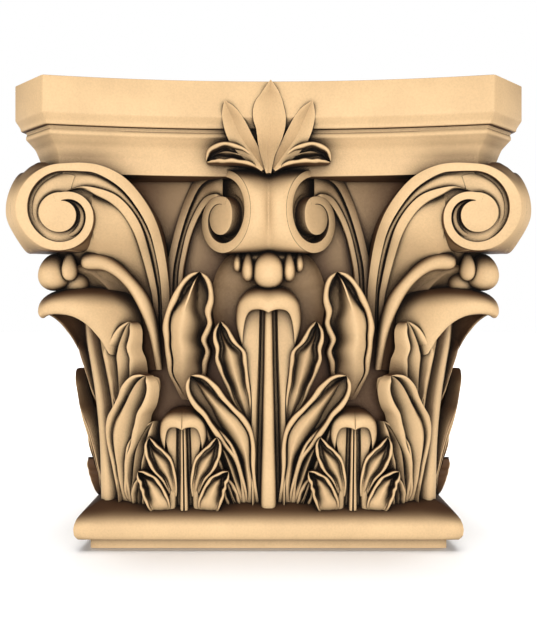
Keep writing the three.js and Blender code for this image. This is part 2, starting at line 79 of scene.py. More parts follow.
def spline(points: Sequence, at: Points) -> Points:
    """Follow a smooth curve through evenly timed control points.

    Args:
        points: Control points or plain values, in order.
        at: Places along the curve, from 0 to 1.

    Returns:
        One point or value for each place.
    """
    control = np.asarray(points, dtype=float)
    last = len(control) - 1
    at = np.clip(np.asarray(at, dtype=float), 0.0, 1.0)
    index = np.minimum((at * last).astype(int), last - 1)
    u = at * last - index
    if control.ndim > 1:
        u = u[..., None]
    before = control[np.maximum(index - 1, 0)]
    start, end = control[index], control[index + 1]
    after = control[np.minimum(index + 2, last)]
    return 0.5 * (
        2 * start
        + (end - before) * u
        + (2 * before - 5 * start + 4 * end - after) * u**2
        + (3 * start - before - 3 * end + after) * u**3
    )


def ease(low: float, high: float, value: Points) -> Points:
    """Rise smoothly from 0 at low to 1 at high."""
    share = np.clip((np.asarray(value, dtype=float) - low) / (high - low), 0.0, 1.0)
    return share * share * (3 - 2 * share)


def stack(*columns: Points | float) -> Points:
    """Join columns of coordinates into points along the last axis."""
    return np.stack(np.broadcast_arrays(*columns), axis=-1).astype(float)


def on_face(line: float = 0.0, mirror: bool = False) -> Place:
    """Make the rule that puts carving on the front face.

    Args:
        line: Where along the face the carving's own middle is.
        mirror: Whether the carving is turned left for right about that middle.

    Returns:
        A function from (along, depth, height) to (x, y, z).
    """
    sign = -1.0 if mirror else 1.0
    return lambda p: stack(line + sign * p[..., 0], -p[..., 1], p[..., 2])


def mirrored(place: Place) -> Place:
    """Turn a rule left for right across the middle of the front face."""
    return lambda p: place(p * LEFT_RIGHT)


def over_diagonal(p: Points) -> Points:
    """Mirror points of the carving in the front left corner's diagonal."""
    return stack(-p[..., 1], -p[..., 0], p[..., 2])


def sideways(spine: Points, t: Points) -> Points:
    """Find the unit directions square to a path, in the plane of the face."""
    tangent = np.gradient(spine, t, axis=0)
    across = stack(tangent[:, 2], 0.0, -tangent[:, 0])
    return across / np.linalg.norm(across, axis=1, keepdims=True)


def across_corner(p: Points) -> Points:
    """Put front-face carving on the left face, as its mirror image in the corner's diagonal."""
    return stack(-p[..., 1], p[..., 0], p[..., 2])


def on_diagonal(p: Points) -> Points:
    """Put carving on the diagonal, where depth is how far out along both X and Y it lies."""
    return stack(-p[..., 1] + p[..., 0] * SLANT, -p[..., 1] - p[..., 0] * SLANT, p[..., 2])


@dataclass(frozen=True)
class RoundCorner:
    """The rule that wraps carving round the front left corner of the bell.

    Attributes:
        radius: Radius that the carving bends round.
        mirror: Whether the carving is turned left for right about the corner.
    """

    radius: float = 37.0
    mirror: bool = False

    def __call__(self, p: Points) -> Points:
        """Map (along, depth, height) to (x, y, z)."""
        along = -p[..., 0] if self.mirror else p[..., 0]
        core = p[..., 1] - self.radius
        bend = self.radius * math.pi / 4
        angle = 5 * math.pi / 4 + np.clip(along, -bend, bend) / self.radius
        past = np.maximum(np.abs(along) - bend, 0.0)
        x = -core + self.radius * np.cos(angle) + np.where(along > 0, past, 0.0)
        y = -core + self.radius * np.sin(angle) + np.where(along < 0, past, 0.0)
        return stack(x, y, p[..., 2])


# ---------------------------------------------------------------- meshes


@dataclass
class Block:
    """Closed lofts gathered for one quarter of the capital, then turned on to all four sides."""

    name: str
    quarters: int = SIDES
    sharp: float = 38.0
    points: list[Points] = field(default_factory=list)
    faces: list[list[int]] = field(default_factory=list)
    count: int = 0

    def loft(self, rings: Points, place: Place = on_face()) -> None:
        """Add one closed body through a row of rings, with a fan of triangles over each end.

        Args:
            rings: Array of (rings, points, 3) in carving coordinates.
            place: Rule that puts the carving on the bell.
        """
        placed = place(np.asarray(rings, dtype=float))
        rows, cols = placed.shape[:2]
        points = np.vstack([placed.reshape(-1, 3), placed[0].mean(axis=0), placed[-1].mean(axis=0)])
        row, col = np.meshgrid(np.arange(rows - 1), np.arange(cols), indexing="ij")
        ahead, beside = row + 1, (col + 1) % cols
        quads = stack(
            row * cols + col, ahead * cols + col, ahead * cols + beside, row * cols + beside
        ).astype(int).reshape(-1, 4)
        faces = quads.tolist()
        first, last, base = rows * cols, rows * cols + 1, (rows - 1) * cols
        for k in range(cols):
            after = (k + 1) % cols
            faces += [[first, k, after], [last, base + after, base + k]]
        corners = points[np.array([face[:3] for face in faces])]
        volume = np.einsum("ij,ij->i", corners[:, 0], np.cross(corners[:, 1], corners[:, 2])).sum()
        quads_rest = points[quads[:, [0, 2, 3]]]
        volume += np.einsum("ij,ij->i", quads_rest[:, 0], np.cross(quads_rest[:, 1], quads_rest[:, 2])).sum()
        if volume < 0:
            faces = [face[::-1] for face in faces]
        self.faces.extend([[index + self.count for index in face] for face in faces])
        self.points.append(points)
        self.count += len(points)

    def both(self, rings: Points, place: Place) -> None:
        """Add a loft and its mirror image across the middle of the front face."""
        self.loft(rings, place)
        self.loft(rings, mirrored(place))

    def build(self, material: bpy.types.Material) -> bpy.types.Object:
        """Turn the gathered bodies into one smooth-shaded piece on all its sides.

        Args:
            material: Finish of the piece.

        Returns:
            The piece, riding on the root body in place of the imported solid.
        """
        quarter = np.vstack(self.points) * MM
        points, faces = [], []
        for side in range(self.quarters):
            c, s = math.cos(side * math.tau / SIDES), math.sin(side * math.tau / SIDES)
            turn = np.array([[c, s, 0.0], [-s, c, 0.0], [0.0, 0.0, 1.0]])
            points.append(quarter @ turn)
            faces.extend([[index + side * self.count for index in face] for face in self.faces])
        mesh = bpy.data.meshes.new(self.name)
        mesh.from_pydata(np.vstack(points).tolist(), [], faces)
        mesh.validate()
        mesh.shade_smooth()
        mesh.set_sharp_from_angle(angle=math.radians(self.sharp))
        piece = bpy.data.objects.new(self.name, mesh)
        bpy.context.scene.collection.objects.link(piece)
        piece.data.materials.append(material)
        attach(piece, "root")
        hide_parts(CAD_NODE)
        triangles = sum(len(face) - 2 for face in faces)
        log.info("%s: %d triangles", self.name, triangles)
        return piece


# ---------------------------------------------------------------- leaves


@dataclass(frozen=True)
class Lobe:
    """One folded lobe of a leaf: a rolled rim round a hollow with a pointed tongue in it.

    Attributes:
        path: Control points (along, depth, height) from root to tip.
        low: Half widths on the lower or outer side, evenly spaced from root to tip.
        high: Half widths on the upper or inner side.
        rim: Width of the rolled rim.
        roll: How far the rim stands forward.
        hollows: How deep the grooves beside the lower and the upper rim are.
        tongue: How far the tongue stands forward.
        ridge: Where the tongue's ridge runs, from -1 at the upper edge to 1 at the lower one.
        reach: Share of the length at which the tongue ends in a point.
        thick: Thickness behind the rims.
        cut: How much deeper than drawn the hollows are cut in the middle of the lobe.
        blunt: How late the lobe closes at its tip: a low number gives a long round tip.
        groove: Width of the cut inside each rim.
        ripple: Share by which the rim's width swells and shrinks.
        ripples: Number of such waves along the lobe.
        rows: Rings from root to tip.
    """

    path: tuple
    low: tuple
    high: tuple
    rim: float = 3.4
    roll: float = 1.7
    hollows: tuple = (4.0, 3.2)
    tongue: float = 1.6
    ridge: float = 0.0
    reach: float = 0.93
    thick: float = 12.0
    cut: float = 1.5
    blunt: float = 40.0
    groove: float = 1.3
    ripple: float = 0.12
    ripples: float = 4.3
    rows: int = 40

    def rings(self) -> Points:
        """Work out the closed rings of the lobe from root to tip."""
        t = np.linspace(0, 1, self.rows) ** 0.9  # rings stand closer towards the tip
        spine = spline(self.path, t)
        across = sideways(spine, t)
        close = np.sqrt(np.maximum(1 - t**self.blunt, 1e-4))
        low, high = spline(self.low, t) * close, spline(self.high, t) * close
        shown = ease(0.0, 0.45, t)
        rim = self.rim * (0.5 + 0.5 * shown) * (1 + self.ripple * np.sin(t * math.tau * self.ripples))
        groove = self.groove * np.ones_like(t)
        share = np.minimum(1.0, (low + high) / (2 * (rim + groove) + 1.0))
        rim, groove = rim * share, groove * share
        roll = self.roll * shown * share
        arc = np.linspace(0, math.pi, 7)
        places, lifts = [], []

        def put(place: Points, lift: Points | float) -> None:
            """Add a line along the lobe."""
            places.append(place)
            lifts.append(lift * np.ones_like(t))

        sunk = 3.0 * (1 - ease(0.0, 0.22, t))  # the root melts into the leaf behind it
        thick = self.thick * (1.15 - 0.75 * t)
        put(low - 0.4 * share, -thick)
        put(low, -0.35 * thick)
        for angle in arc:
            put(low - rim / 2 + rim / 2 * math.cos(angle), roll * math.sin(angle))
        deep = [hollow * self.cut * ease(-0.05, 0.5, t) * share for hollow in self.hollows]
        start, stop = low - rim - groove, -(high - rim - groove)
        put(low - rim - groove / 2, -deep[0] * 0.8)
        middle = (low - high) / 2 + self.ridge * (start - stop) / 2
        spread = (start - stop) / 2 * (1.05 - ease(0.45, self.reach, t)) + 0.01
        for u in np.linspace(0, 1, 15):
            x = start + (stop - start) * u
            offset = np.clip(np.abs(x - middle) / (spread * (1 + abs(self.ridge))), 0, 1)
            floor = deep[0] + (deep[1] - deep[0]) * u
            put(x, -floor + (floor + self.tongue * shown * share) * (1 - offset**1.5) ** 1.4)
        put(-(high - rim - groove / 2), -deep[1] * 0.8)
        for angle in arc:
            put(-(high - rim / 2) + rim / 2 * math.cos(angle), roll * math.sin(angle))
        put(-high, -0.35 * thick)
        put(-high + 0.4 * share, -thick)
        side = np.stack(places, axis=1)
        lift = np.stack(lifts, axis=1)
        rings = spine[:, None, :] + across[:, None, :] * side[..., None]
        rings[..., 1] += lift - sunk[:, None]
        return rings


@dataclass(frozen=True)
class Midrib:
    """The flat body of a leaf with its stem, from the foot to the hood.

    Attributes:
        levels: Rows of (height, depth, half width, half width of the stem).
        stem: How far the stem stands forward.
        split: Whether a fine line divides the stem in two.
        back: Depth of the leaf's hidden back.
    """

    levels: tuple
    stem: float = 3.0
    split: bool = False
    back: float = LEAF_BACK

    def rings(self) -> Points:
        """Work out horizontal rings from the foot upward."""
        t = np.linspace(0, 1, 40)
        height, depth, half, stem = spline(self.levels, t).T
        valley = np.minimum(stem * 0.9 + 1.2, 5.5)
        cut = 1.2 + stem
        columns = []
        for share in (1.0, 0.97, 0.85, 0.7, 0.5, 0.3, 0.12, 0.0):
            edge = stem + valley
            x = edge + (half - edge) * share
            drop = 1.2 * (1 - share) ** 2 + (1.4 if share == 1.0 else 0.0)
            columns.append((x, depth - drop))
        columns.append((stem + valley * 0.85, depth - 2.2))
        columns.append((stem + valley * 0.5, depth - cut))
        columns.append((stem + valley * 0.15, depth - cut))
        for share in (1.0, 0.93, 0.75, 0.5, 0.25, 0.0):
            crown = self.stem * (1 - share**4)
            notch = 1.6 * math.exp(-((share / 0.14) ** 2)) if self.split else 0.0
            lift = crown - notch if share < 1 else -2.0
            columns.append((stem * share, depth + lift))
        right = [stack(x, y, height) for x, y in columns]
        left = [p * LEFT_RIGHT for p in right[-2::-1]]
        back = [stack(-half, self.back, height), stack(half, self.back, height)]
        return np.stack([*right, *left, *back], axis=1)


@dataclass(frozen=True)
class Hood:
    """The tip of a leaf, curled forward and down over its stem.

    Attributes:
        scale: Size against the large leaf's hood.
        foot: Height where its legs start.
        root: Depth of the leaf behind it.
        reach: How far its lip stands in front of the leaf.
        cleft: Depth of the line down its middle.
        let_in: How far the hood is let into the leaf.
        outer: Outline over the top as (along, above the foot).
        inner: Outline of the lip, seen from the front.
    """

    scale: float
    foot: float
    root: float
    reach: float
    cleft: float = 0.0
    let_in: float = 14.0
    outer: tuple = ((22.5, 0), (26.5, 14), (27, 27), (24.8, 37), (18, 45.5), (8.5, 49.8), (0, 50))
    inner: tuple = ((21.5, 2), (20.5, 13), (18.4, 23), (14.9, 28.5), (9, 30.0), (4, 29.2), (0, 27.2))

    def rings(self) -> Points:
        """Work out rings across the hood, from one leg over the top to the other."""
        turn = np.linspace(-1, 1, 49)
        t = 1 - np.abs(turn)
        sign = np.sign(turn)
        out, low = spline(self.outer, t) * self.scale, spline(self.inner, t) * self.scale
        full = np.sin(t * math.pi / 2) ** 1.2  # from 0 at a leg's foot to 1 over the stem
        reach = self.reach * (0.12 + 0.88 * full)
        thick = (1.2 + 3.2 * full) * max(self.scale, 0.75)
        line = self.cleft * np.exp(-((turn / 0.035) ** 2))
        rings = []

        def put(share: Points | float, forward: Points | float) -> None:
            """Add a line over the hood, at a share of the way from its outline to its lip."""
            x = out[:, 0] + (low[:, 0] - out[:, 0]) * share
            z = out[:, 1] + (low[:, 1] - out[:, 1]) * share
            rings.append(stack(sign * x, self.root + forward, self.foot + z))

        lip, inner = 0.86, 0.5  # shares at which the lip starts and by which the underside runs back
        put(0.0, -self.let_in)
        for angle in np.linspace(0, math.pi / 2, 13):
            put((1 - math.cos(angle)) ** 1.15 * lip, reach * math.sin(angle) ** 0.9 - line)
        for angle in np.linspace(0.35, math.pi - 0.3, 6):
            put(lip + (1 - lip) * math.sin(angle), reach - thick * (1 - math.cos(angle)) / 2 - line)
        for angle in np.linspace(0.15, math.pi / 2, 6):
            put(lip - inner * math.sin(angle), (reach - thick) * math.cos(angle) - 1.0)
        put(lip - inner, -self.let_in)
        return np.stack(rings, axis=1)


@dataclass(frozen=True)
class Leaf:
    """A leaf of the lower tiers: midrib, lobes on both sides and a hood."""

    midrib: Midrib
    lobes: tuple
    hood: Hood

    def carve(self, block: Block, place: Place, other: Place) -> None:
        """Add the leaf to a block.

        Args:
            block: Block that takes the leaf.
            place: Rule that puts its right half on the bell.
            other: The same rule, turned left for right.
        """
        block.loft(self.midrib.rings(), place)
        block.loft(self.hood.rings(), place)
        for lobe in self.lobes:
            rings = lobe.rings()
            block.loft(rings, place)
            block.loft(rings, other)


BIG_UPPER = Lobe(
    path=((17, 150, 106), (23, 154.5, 128), (27.7, 158.5, 147), (31.5, 162.5, 163), (36, 164.5, 178),
          (39.6, 162, 191)),
    low=(4, 6, 8.5, 10, 11.5, 12.8, 13, 10.2, 10, 8, 4),
    high=(4, 6, 8.3, 9.8, 11, 12.3, 13, 9, 7, 5.4, 3),
    blunt=18,
    reach=1.08,
)
BIG_LOWER = Lobe(
    path=((15, 148.5, 35), (17.5, 151, 63), (23.5, 155.5, 89), (36.5, 163, 112), (52.5, 169, 132),
          (63.5, 171, 147)),
    low=(7, 7, 7, 8, 9.5, 12.5, 14.6, 15, 14.4, 13.2, 14, 13, 11, 8),
    high=(7, 6.5, 6, 7, 9.5, 12, 14.2, 14.2, 12, 11.6, 13, 12.4, 11, 8),
    blunt=14,
    reach=1.08,
    hollows=(6.5, 2.8),
    ridge=-0.3,
    tongue=2.4,
    rim=4.2,
)
BIG_THIRD = Lobe(
    path=((22, 147, 32), (29, 150, 60), (39, 155, 86), (53, 157, 108)),
    low=(4, 7, 9, 9.5, 9, 6, 0.4),
    high=(4, 7, 8, 9, 9, 6, 0.4),
    rows=28,
)
BIG_FOURTH = Lobe(
    path=((27, 145, 28), (33, 149, 48), (41, 152, 64)),
    low=(4, 6, 6.5, 4.5, 0.4),
    high=(4, 6, 6.5, 4.5, 0.4),
    rows=20,
)
BIG_LEAF = Leaf(
    midrib=Midrib(
        levels=((33, 149, 13.5, 6.8), (62, 149.5, 14, 6.2), (91, 150.5, 14.5, 5.6), (125, 153, 14, 4.7),
                (150, 156, 17, 4.1), (172, 159, 22, 3.7), (197, 161, 20, 3.4), (208, 161, 16, 3.2)),
    ),
    lobes=(BIG_FOURTH, BIG_THIRD, BIG_UPPER, BIG_LOWER),
    hood=Hood(scale=1.0, foot=171, root=158, reach=23),
)
CORNER_LEAF = replace(BIG_LEAF, hood=Hood(scale=1.12, foot=163.5, root=160, reach=34))
SMALL_LEAF = Leaf(
    midrib=Midrib(
        levels=((33, 153, 15, 3.6), (50, 154.5, 11, 3.3), (66, 156, 9.5, 3.0), (84, 158, 13, 2.8),
                (98, 159.5, 15, 2.6), (108, 160, 12, 2.4)),
        stem=2.0,
        split=True,
    ),
    lobes=(
        Lobe(
            path=((9, 155.5, 44), (12, 158, 60), (19, 161, 75), (24.5, 162.5, 86), (28, 162, 95.5)),
            low=(2.5, 4, 5.5, 7.2, 8.8, 9.6, 9, 8.4, 7, 4.6, 0.3),
            high=(2.5, 4, 5.5, 7.2, 9, 9.6, 8, 6.6, 4.6, 2.8, 0.3),
            rim=2.6, roll=1.3, hollows=(2.8, 2.2), tongue=1.3, rows=32,
        ),
        Lobe(
            path=((19, 155, 30), (22, 157.5, 42), (26.5, 160, 54), (32, 161.5, 62), (37.5, 162, 67)),
            low=(7, 8.6, 9.5, 10, 10, 9, 8.6, 6.4, 6, 4, 0.3),
            high=(7, 8.6, 9.5, 9.5, 9, 8.5, 8, 6.5, 5, 3.4, 0.3),
            rim=2.6, roll=1.3, hollows=(3.6, 2.2), tongue=1.3, ridge=-0.15, rows=32,
        ),
    ),
    hood=Hood(scale=0.72, foot=83, root=157.5, reach=14.5, cleft=0.8),
)
SMALL_LEAF_OFFSET = 70.6
SHEATH = Lobe(
    path=((-70, 145, 124), (-68.5, 150, 148), (-67.5, 155, 170), (-66, 160, 190), (-61, 165, 210),
          (-56.5, 166, 232)),
    high=(4, 9, 15.5, 17.5, 19, 20, 21.5, 20.5, 19.5, 18, 15, 12),
    low=(4, 10, 15.5, 17, 19.5, 16, 19, 19.5, 16.5, 17, 15, 13),
    blunt=12,
    rim=5.2, roll=2.4, hollows=(8.5, 3.5), tongue=4.5, ridge=-0.35, reach=1.08, thick=26, rows=52,
)


def ball(centre: Sequence, size: Sequence, rows: int = 18, cols: int = 24, taper: float = 0.0) -> Points:
    """Work out the rings of an egg-shaped lump.

    Args:
        centre: Middle as (along, depth, height).
        size: Half sizes along the same directions.
        rows: Rings from top to bottom.
        cols: Points round each ring.
        taper: Share by which the lump narrows towards its foot.

    Returns:
        Rings for Block.loft.
    """
    fall = np.linspace(0.03, math.pi - 0.03, rows)
    around = np.linspace(0, math.tau, cols, endpoint=False)
    width = np.sin(fall) * (1 + taper * np.cos(fall))
    return stack(
        centre[0] + size[0] * width[:, None] * np.cos(around),
        centre[1] + size[1] * width[:, None] * np.sin(around),
        centre[2] + size[2] * np.cos(fall)[:, None] + 0 * around,
    )


def tube(upper: Sequence, lower: Sequence, bulge: float, rows: int = 48, cols: int = 20,
         tail: float = 0.12) -> Points:
    """Work out a round roll between two edges, with a blunt end.

    Args:
        upper: Control points along one edge, from its foot to its blunt end.
        lower: Control points along the other edge.
        bulge: Depth of the roll against its width.
        rows: Rings along the roll.
        cols: Points round each ring.
        tail: Share of the length over which the end is rounded.

    Returns:
        Rings for Block.loft.
    """
    ends = 12  # rings in the rounded end
    t = np.concatenate([np.linspace(0, 1 - tail, rows - ends, endpoint=False),
                        1 - tail + tail * np.sin(np.linspace(0, math.pi / 2, ends))])
    a, b = spline(upper, t), spline(lower, t)
    middle, half = (a + b) / 2, (a - b) / 2
    near_end = np.clip((t - (1 - tail)) / tail, 0, 1)
    size = np.sqrt(np.maximum(1 - near_end**2, 0.0004))
    radius = np.linalg.norm(half, axis=1) * bulge
    angle = np.linspace(0, math.tau, cols, endpoint=False)
    rings = middle[:, None] + (half * size[:, None])[:, None] * np.cos(angle)[:, None]
    rings[..., 1] += (radius * size)[:, None] * np.sin(angle)
    return rings


# ---------------------------------------------------------------- spirals and stalks


@dataclass(frozen=True)
class Stalk:
    """A band that grows out of a sheath leaf and carries a scroll: two rims with a channel between.

    Attributes:
        outer: Outer rim's outer edge, from the scroll's top down to the sheath leaf.
        outer_in: Outer rim's inner edge.
        inner: Inner rim's edge towards the channel.
        inner_in: Inner rim's far edge.
        deep: Depth of the channel.
        back: How far the band reaches back into the bell.
        crown: How far the channel's floor swells.
        bud: Share of the length over which the inner rim rises out of the channel.
    """

    outer: tuple
    outer_in: tuple
    inner: tuple
    inner_in: tuple
    deep: float = 4.5
    back: float = 30.0
    crown: float = 1.6
    bud: float = 0.16

    def rings(self) -> Points:
        """Work out the rings of the channel and the inner rim."""
        t = np.linspace(0, 1, 72)
        a, b, c, d = (spline(edge, t) for edge in (self.outer, self.outer_in, self.inner, self.inner_in))
        columns = []

        def put(start: Points, end: Points, share: float, lift: Points | float, inset: float = 0.0) -> None:
            """Add a line along the band, between two edges or a fixed inset from the first."""
            p = start + (end - start) * share
            if inset:
                way = end - start
                size = np.maximum(np.linalg.norm(way, axis=1, keepdims=True), 0.01)
                p = start + way * np.minimum(inset / size, 0.5)
            p = p.copy()
            p[:, 1] += lift
            columns.append(p)

        grown = ease(0.0, self.bud, t)
        sunk = -self.deep * (1 - grown)
        crown = self.crown * ease(0.0, 0.2, t)
        put(a, b, 0.3, -self.back)
        put(a, b, 0.3, -self.deep)
        bed = -self.deep - (1 - ease(0.0, 0.15, t))  # it starts under the scroll's own floor
        put(b, c, 0.05, bed)
        for share in (0.15, 0.3, 0.5, 0.7, 0.85):
            put(b, c, share, bed + crown * (1 - (2 * share - 1) ** 2))
        put(b, c, 0.95, bed)
        put(c, d, 0, sunk - 0.6)
        put(c, d, 0, sunk - 0.15, 0.2)
        put(c, d, 0, sunk, 0.7)
        put(c, d, 0.6, sunk - 0.1)
        put(d, c, 0, sunk - 0.5, 0.6)
        put(d, c, 0, sunk - 1.3)
        put(d, c, 0, -self.back)
        return np.stack(columns, axis=1)


@dataclass(frozen=True)
class Spiral:
    """A scroll: the stalk's outer rim winds in from the top and ends as a disc.

    Attributes:
        centre: Middle as (along, depth, height).
        aim: Direction in (along, depth) of the side that the rim reaches first.
        facing: Direction in (along, depth) that the scroll's face looks.
        outer: Radius of the rim's outer edge at each quarter turn.
        inner: Radius of the rim's inner edge.
        disc: Radius of the disc at each quarter turn after the rim's whole turn.
        deep: Depth of the channel.
        lean: How far the rim's outer wall leans out for each millimetre it goes back.
        bow: How far the scroll's leading side is bowed forward.
        stalk: The stalk whose outer rim runs on into the scroll.
    """

    centre: tuple
    aim: tuple
    facing: tuple
    outer: tuple
    inner: tuple
    disc: tuple
    deep: float
    stalk: Stalk
    lean: float = 0.0
    bow: float = 0.0

    def at(self, radius: Points, angle: Points, lift: Points | float) -> Points:
        """Find a point of the scroll from its radius, its angle from the top and its lift."""
        side = radius * np.sin(angle)
        fall = -radius * np.cos(angle) / self.outer[2]
        lift = lift + self.bow * (np.exp(-(1 - side / self.outer[1]) / 0.25) - ease(0.0, 1.0, fall))
        return stack(
            self.centre[0] + self.aim[0] * side + self.facing[0] * lift,
            self.centre[1] + self.aim[1] * side + self.facing[1] * lift,
            self.centre[2] + radius * np.cos(angle),
        )

    def rim(self) -> Points:
        """Work out the rings of the rim, from the stalk's foot to its end in the disc."""
        q = np.linspace(0.0, 4.25, 150)  # in quarter turns: the last one lies inside the disc
        angle = q * math.pi / 2
        t = np.clip(q / 4, 0, 1)
        out, into = spline(self.outer, t), spline(self.inner, t)
        end = ease(4.0, 4.25, q)
        out, into = out - 1.2 * end, into - 1.0 * end
        back = self.deep + 1.0
        lean = self.lean * ease(0.0, 0.35, np.sin(angle)) * ease(2.1, 1.9, q)
        bevel, worn, fall = 0.5, 0.15, 0.12  # the rounding of both arrises, in three points

        def leaning(p: Points, depth: float) -> Points:
            """Move a point of the outer wall out by the lean at its depth."""
            return p + stack(self.aim[0] * depth * lean, self.aim[1] * depth * lean, 0.0)

        scroll = [
            leaning(self.at(out, angle, -back), back),
            leaning(self.at(out, angle, -bevel), bevel),
            self.at(out - worn, angle, -fall),
            self.at(out - bevel, angle, 0.0),
            self.at((out + into) / 2, angle, 0.0),
            self.at(into + bevel, angle, 0.0),
            self.at(into + worn, angle, -fall),
            self.at(into, angle, -bevel),
            self.at(into, angle, -back),
        ]
        t = np.linspace(1, 0, 70, endpoint=False)
        a, b = spline(self.stalk.outer, t), spline(self.stalk.outer_in, t)
        way = (b - a) / np.linalg.norm(b - a, axis=1, keepdims=True)
        sink = np.outer(back + (self.stalk.back - back) * ease(0.0, 0.2, t), (0, 1, 0))
        drop = np.array([0.0, 1.0, 0.0])
        lead = [a - sink, a - bevel * drop, a + way * worn - fall * drop, a + way * bevel, (a + b) / 2,
                b - way * bevel, b - way * worn - fall * drop, b - bevel * drop, b - back * drop]
        join = np.exp(-((t / 0.06) ** 2))[:, None]  # the stalk's rim runs into the scroll's without a step
        lead = [p + (ring[0] - p) * join for p, ring in zip(lead, scroll)]
        return np.concatenate([np.stack(lead, axis=1), np.stack(scroll, axis=1)])

    def eye(self) -> Points:
        """Work out the rings of the disc that the rim ends in."""
        q = np.linspace(0, 4, 96, endpoint=False)
        angle, radius = q * math.pi / 2, spline(self.disc, q / 4)
        rings = []
        for share, inset, lift in ((1.0, 0.0, -self.deep - 1), (1.0, 0.0, -0.6), (1.0, 0.15, -0.22),
                                   (1.0, 0.55, -0.08), (0.6, 0.0, -0.08), (0.25, 0.0, -0.08)):
            rings.append(self.at((radius - inset) * share, angle, lift))
        return np.stack(rings)

    def floor(self) -> Points:
        """Work out the rings of the swollen strip along the middle of the channel."""
        q = np.linspace(-0.2, 3.7, 120)
        angle = q * math.pi / 2
        high = spline(self.inner, np.clip(q / 4, 0, 1))
        low = spline(self.disc, np.clip(q / 4, 0, 1))
        gap = np.maximum(high - low, 0.6)
        groove = np.minimum(1.5, gap * 0.22)
        swell = np.minimum(gap * 0.16, 1.7) * ease(-0.2, 0.3, q)
        columns = [self.at(low + groove, angle, -self.deep - 2)]
        for share in np.linspace(0, 1, 9):
            width = gap - 2 * groove
            rise = swell * (1 - (2 * share - 1) ** 4)
            columns.append(self.at(low + groove + width * share, angle, -self.deep + rise - 0.3))
        columns.append(self.at(high - groove, angle, -self.deep - 2))
        return np.stack(columns, axis=1)

    def reach(self, angle: Points) -> tuple:
        """Measure the scroll's outline at the height of one angle of its leading side.

        Args:
            angle: Angles from the top down the leading side, from 0 to pi.

        Returns:
            Height over the centre, reach on the leading side and reach on the other side.
        """
        radius = spline(self.outer, angle / math.tau)
        height = radius * np.cos(angle)
        tall = np.where(height > 0, self.outer[0], self.outer[2])
        trail = self.outer[3] * np.sqrt(np.maximum(1 - (height / tall) ** 2, 0))
        return height, radius * np.sin(angle), trail


VOLUTE_STALK = Stalk(
    outer=((-160.7, 201.6, 314), (-144, 199, 315.2), (-129, 195.5, 313), (-114.5, 188.5, 306),
           (-102.4, 181, 293), (-92.8, 172, 276), (-87.3, 161, 255), (-84.1, 149, 224), (-84.2, 144, 204),
           (-85.3, 141, 184)),
    outer_in=((-160.7, 201.6, 308.2), (-147, 199.5, 308.4), (-133.5, 196.5, 306.8), (-117, 189.5, 297),
              (-105, 182, 282), (-96.8, 173, 265), (-93, 161, 245), (-91, 150.5, 224), (-90.7, 144, 204),
              (-90.7, 141, 184)),
    inner=((-160.7, 201.6, 292.3), (-146, 200, 296.6), (-132.9, 196.5, 295.5), (-119.9, 191.5, 290.9),
           (-109.8, 185, 281), (-102.5, 176, 267), (-98.6, 161, 248), (-95.1, 150, 224.2),
           (-93.8, 145, 209.8), (-93.8, 141, 184)),
    inner_in=((-160.7, 201.6, 291.8), (-146, 200, 295.2), (-134.7, 197, 290.2), (-124.4, 192.5, 285),
              (-115.9, 187, 276.5), (-108.4, 177, 262), (-104, 163, 243), (-100.4, 151.5, 222),
              (-98.6, 146, 208), (-97.8, 141, 184)),
)
VOLUTE = Spiral(
    centre=(-160.7, 201.6, 275.6),
    aim=(-1, 0),
    facing=(0, 1),
    outer=(38.4, 33.4, 28.5, 25.1, 16.2),
    inner=(32.6, 25.0, 21.9, 18.9, 9.7),
    disc=(16.2, 17.1, 14.4, 11.8, 9.6),
    deep=5.0,
    stalk=VOLUTE_STALK,
    lean=1.0,
    bow=4.3,
)
HELIX_STALK = Stalk(
    outer=((-38, 166, 315.4), (-46, 160, 316.5), (-61, 147.5, 312), (-70.5, 141, 297), (-78, 140, 276),
           (-83.7, 140.5, 254), (-87, 141, 235), (-88, 141, 205)),
    outer_in=((-38, 166, 309.7), (-46, 160, 310.5), (-57.5, 149, 305), (-66, 143, 291), (-73, 141, 272),
              (-78.5, 140.5, 251), (-81.5, 141, 233), (-82.5, 141, 205)),
    inner=((-38, 166, 294), (-44, 160, 297), (-54, 150, 295), (-62.5, 144.5, 284), (-69.5, 142, 268),
           (-74.5, 141, 248), (-77, 141, 231), (-78, 141, 205)),
    inner_in=((-38, 166, 293), (-43, 161, 293.5), (-52, 151, 289), (-59.5, 145.5, 279), (-66, 142, 264),
              (-70.5, 141, 246), (-73, 141, 230), (-74, 141, 205)),
    deep=4.5,
    back=22,
)
HELIX = Spiral(
    centre=(-38, 166, 278),
    aim=(SLANT, SLANT),
    facing=(-SLANT, SLANT),
    outer=(37.4, 33.5, 30.6, 26, 15.8),
    inner=(31.7, 26.2, 22.5, 17.8, 9.3),
    disc=(15.8, 11.8, 15.6, 16.2, 9.2),
    deep=11.0,
    stalk=HELIX_STALK,
)


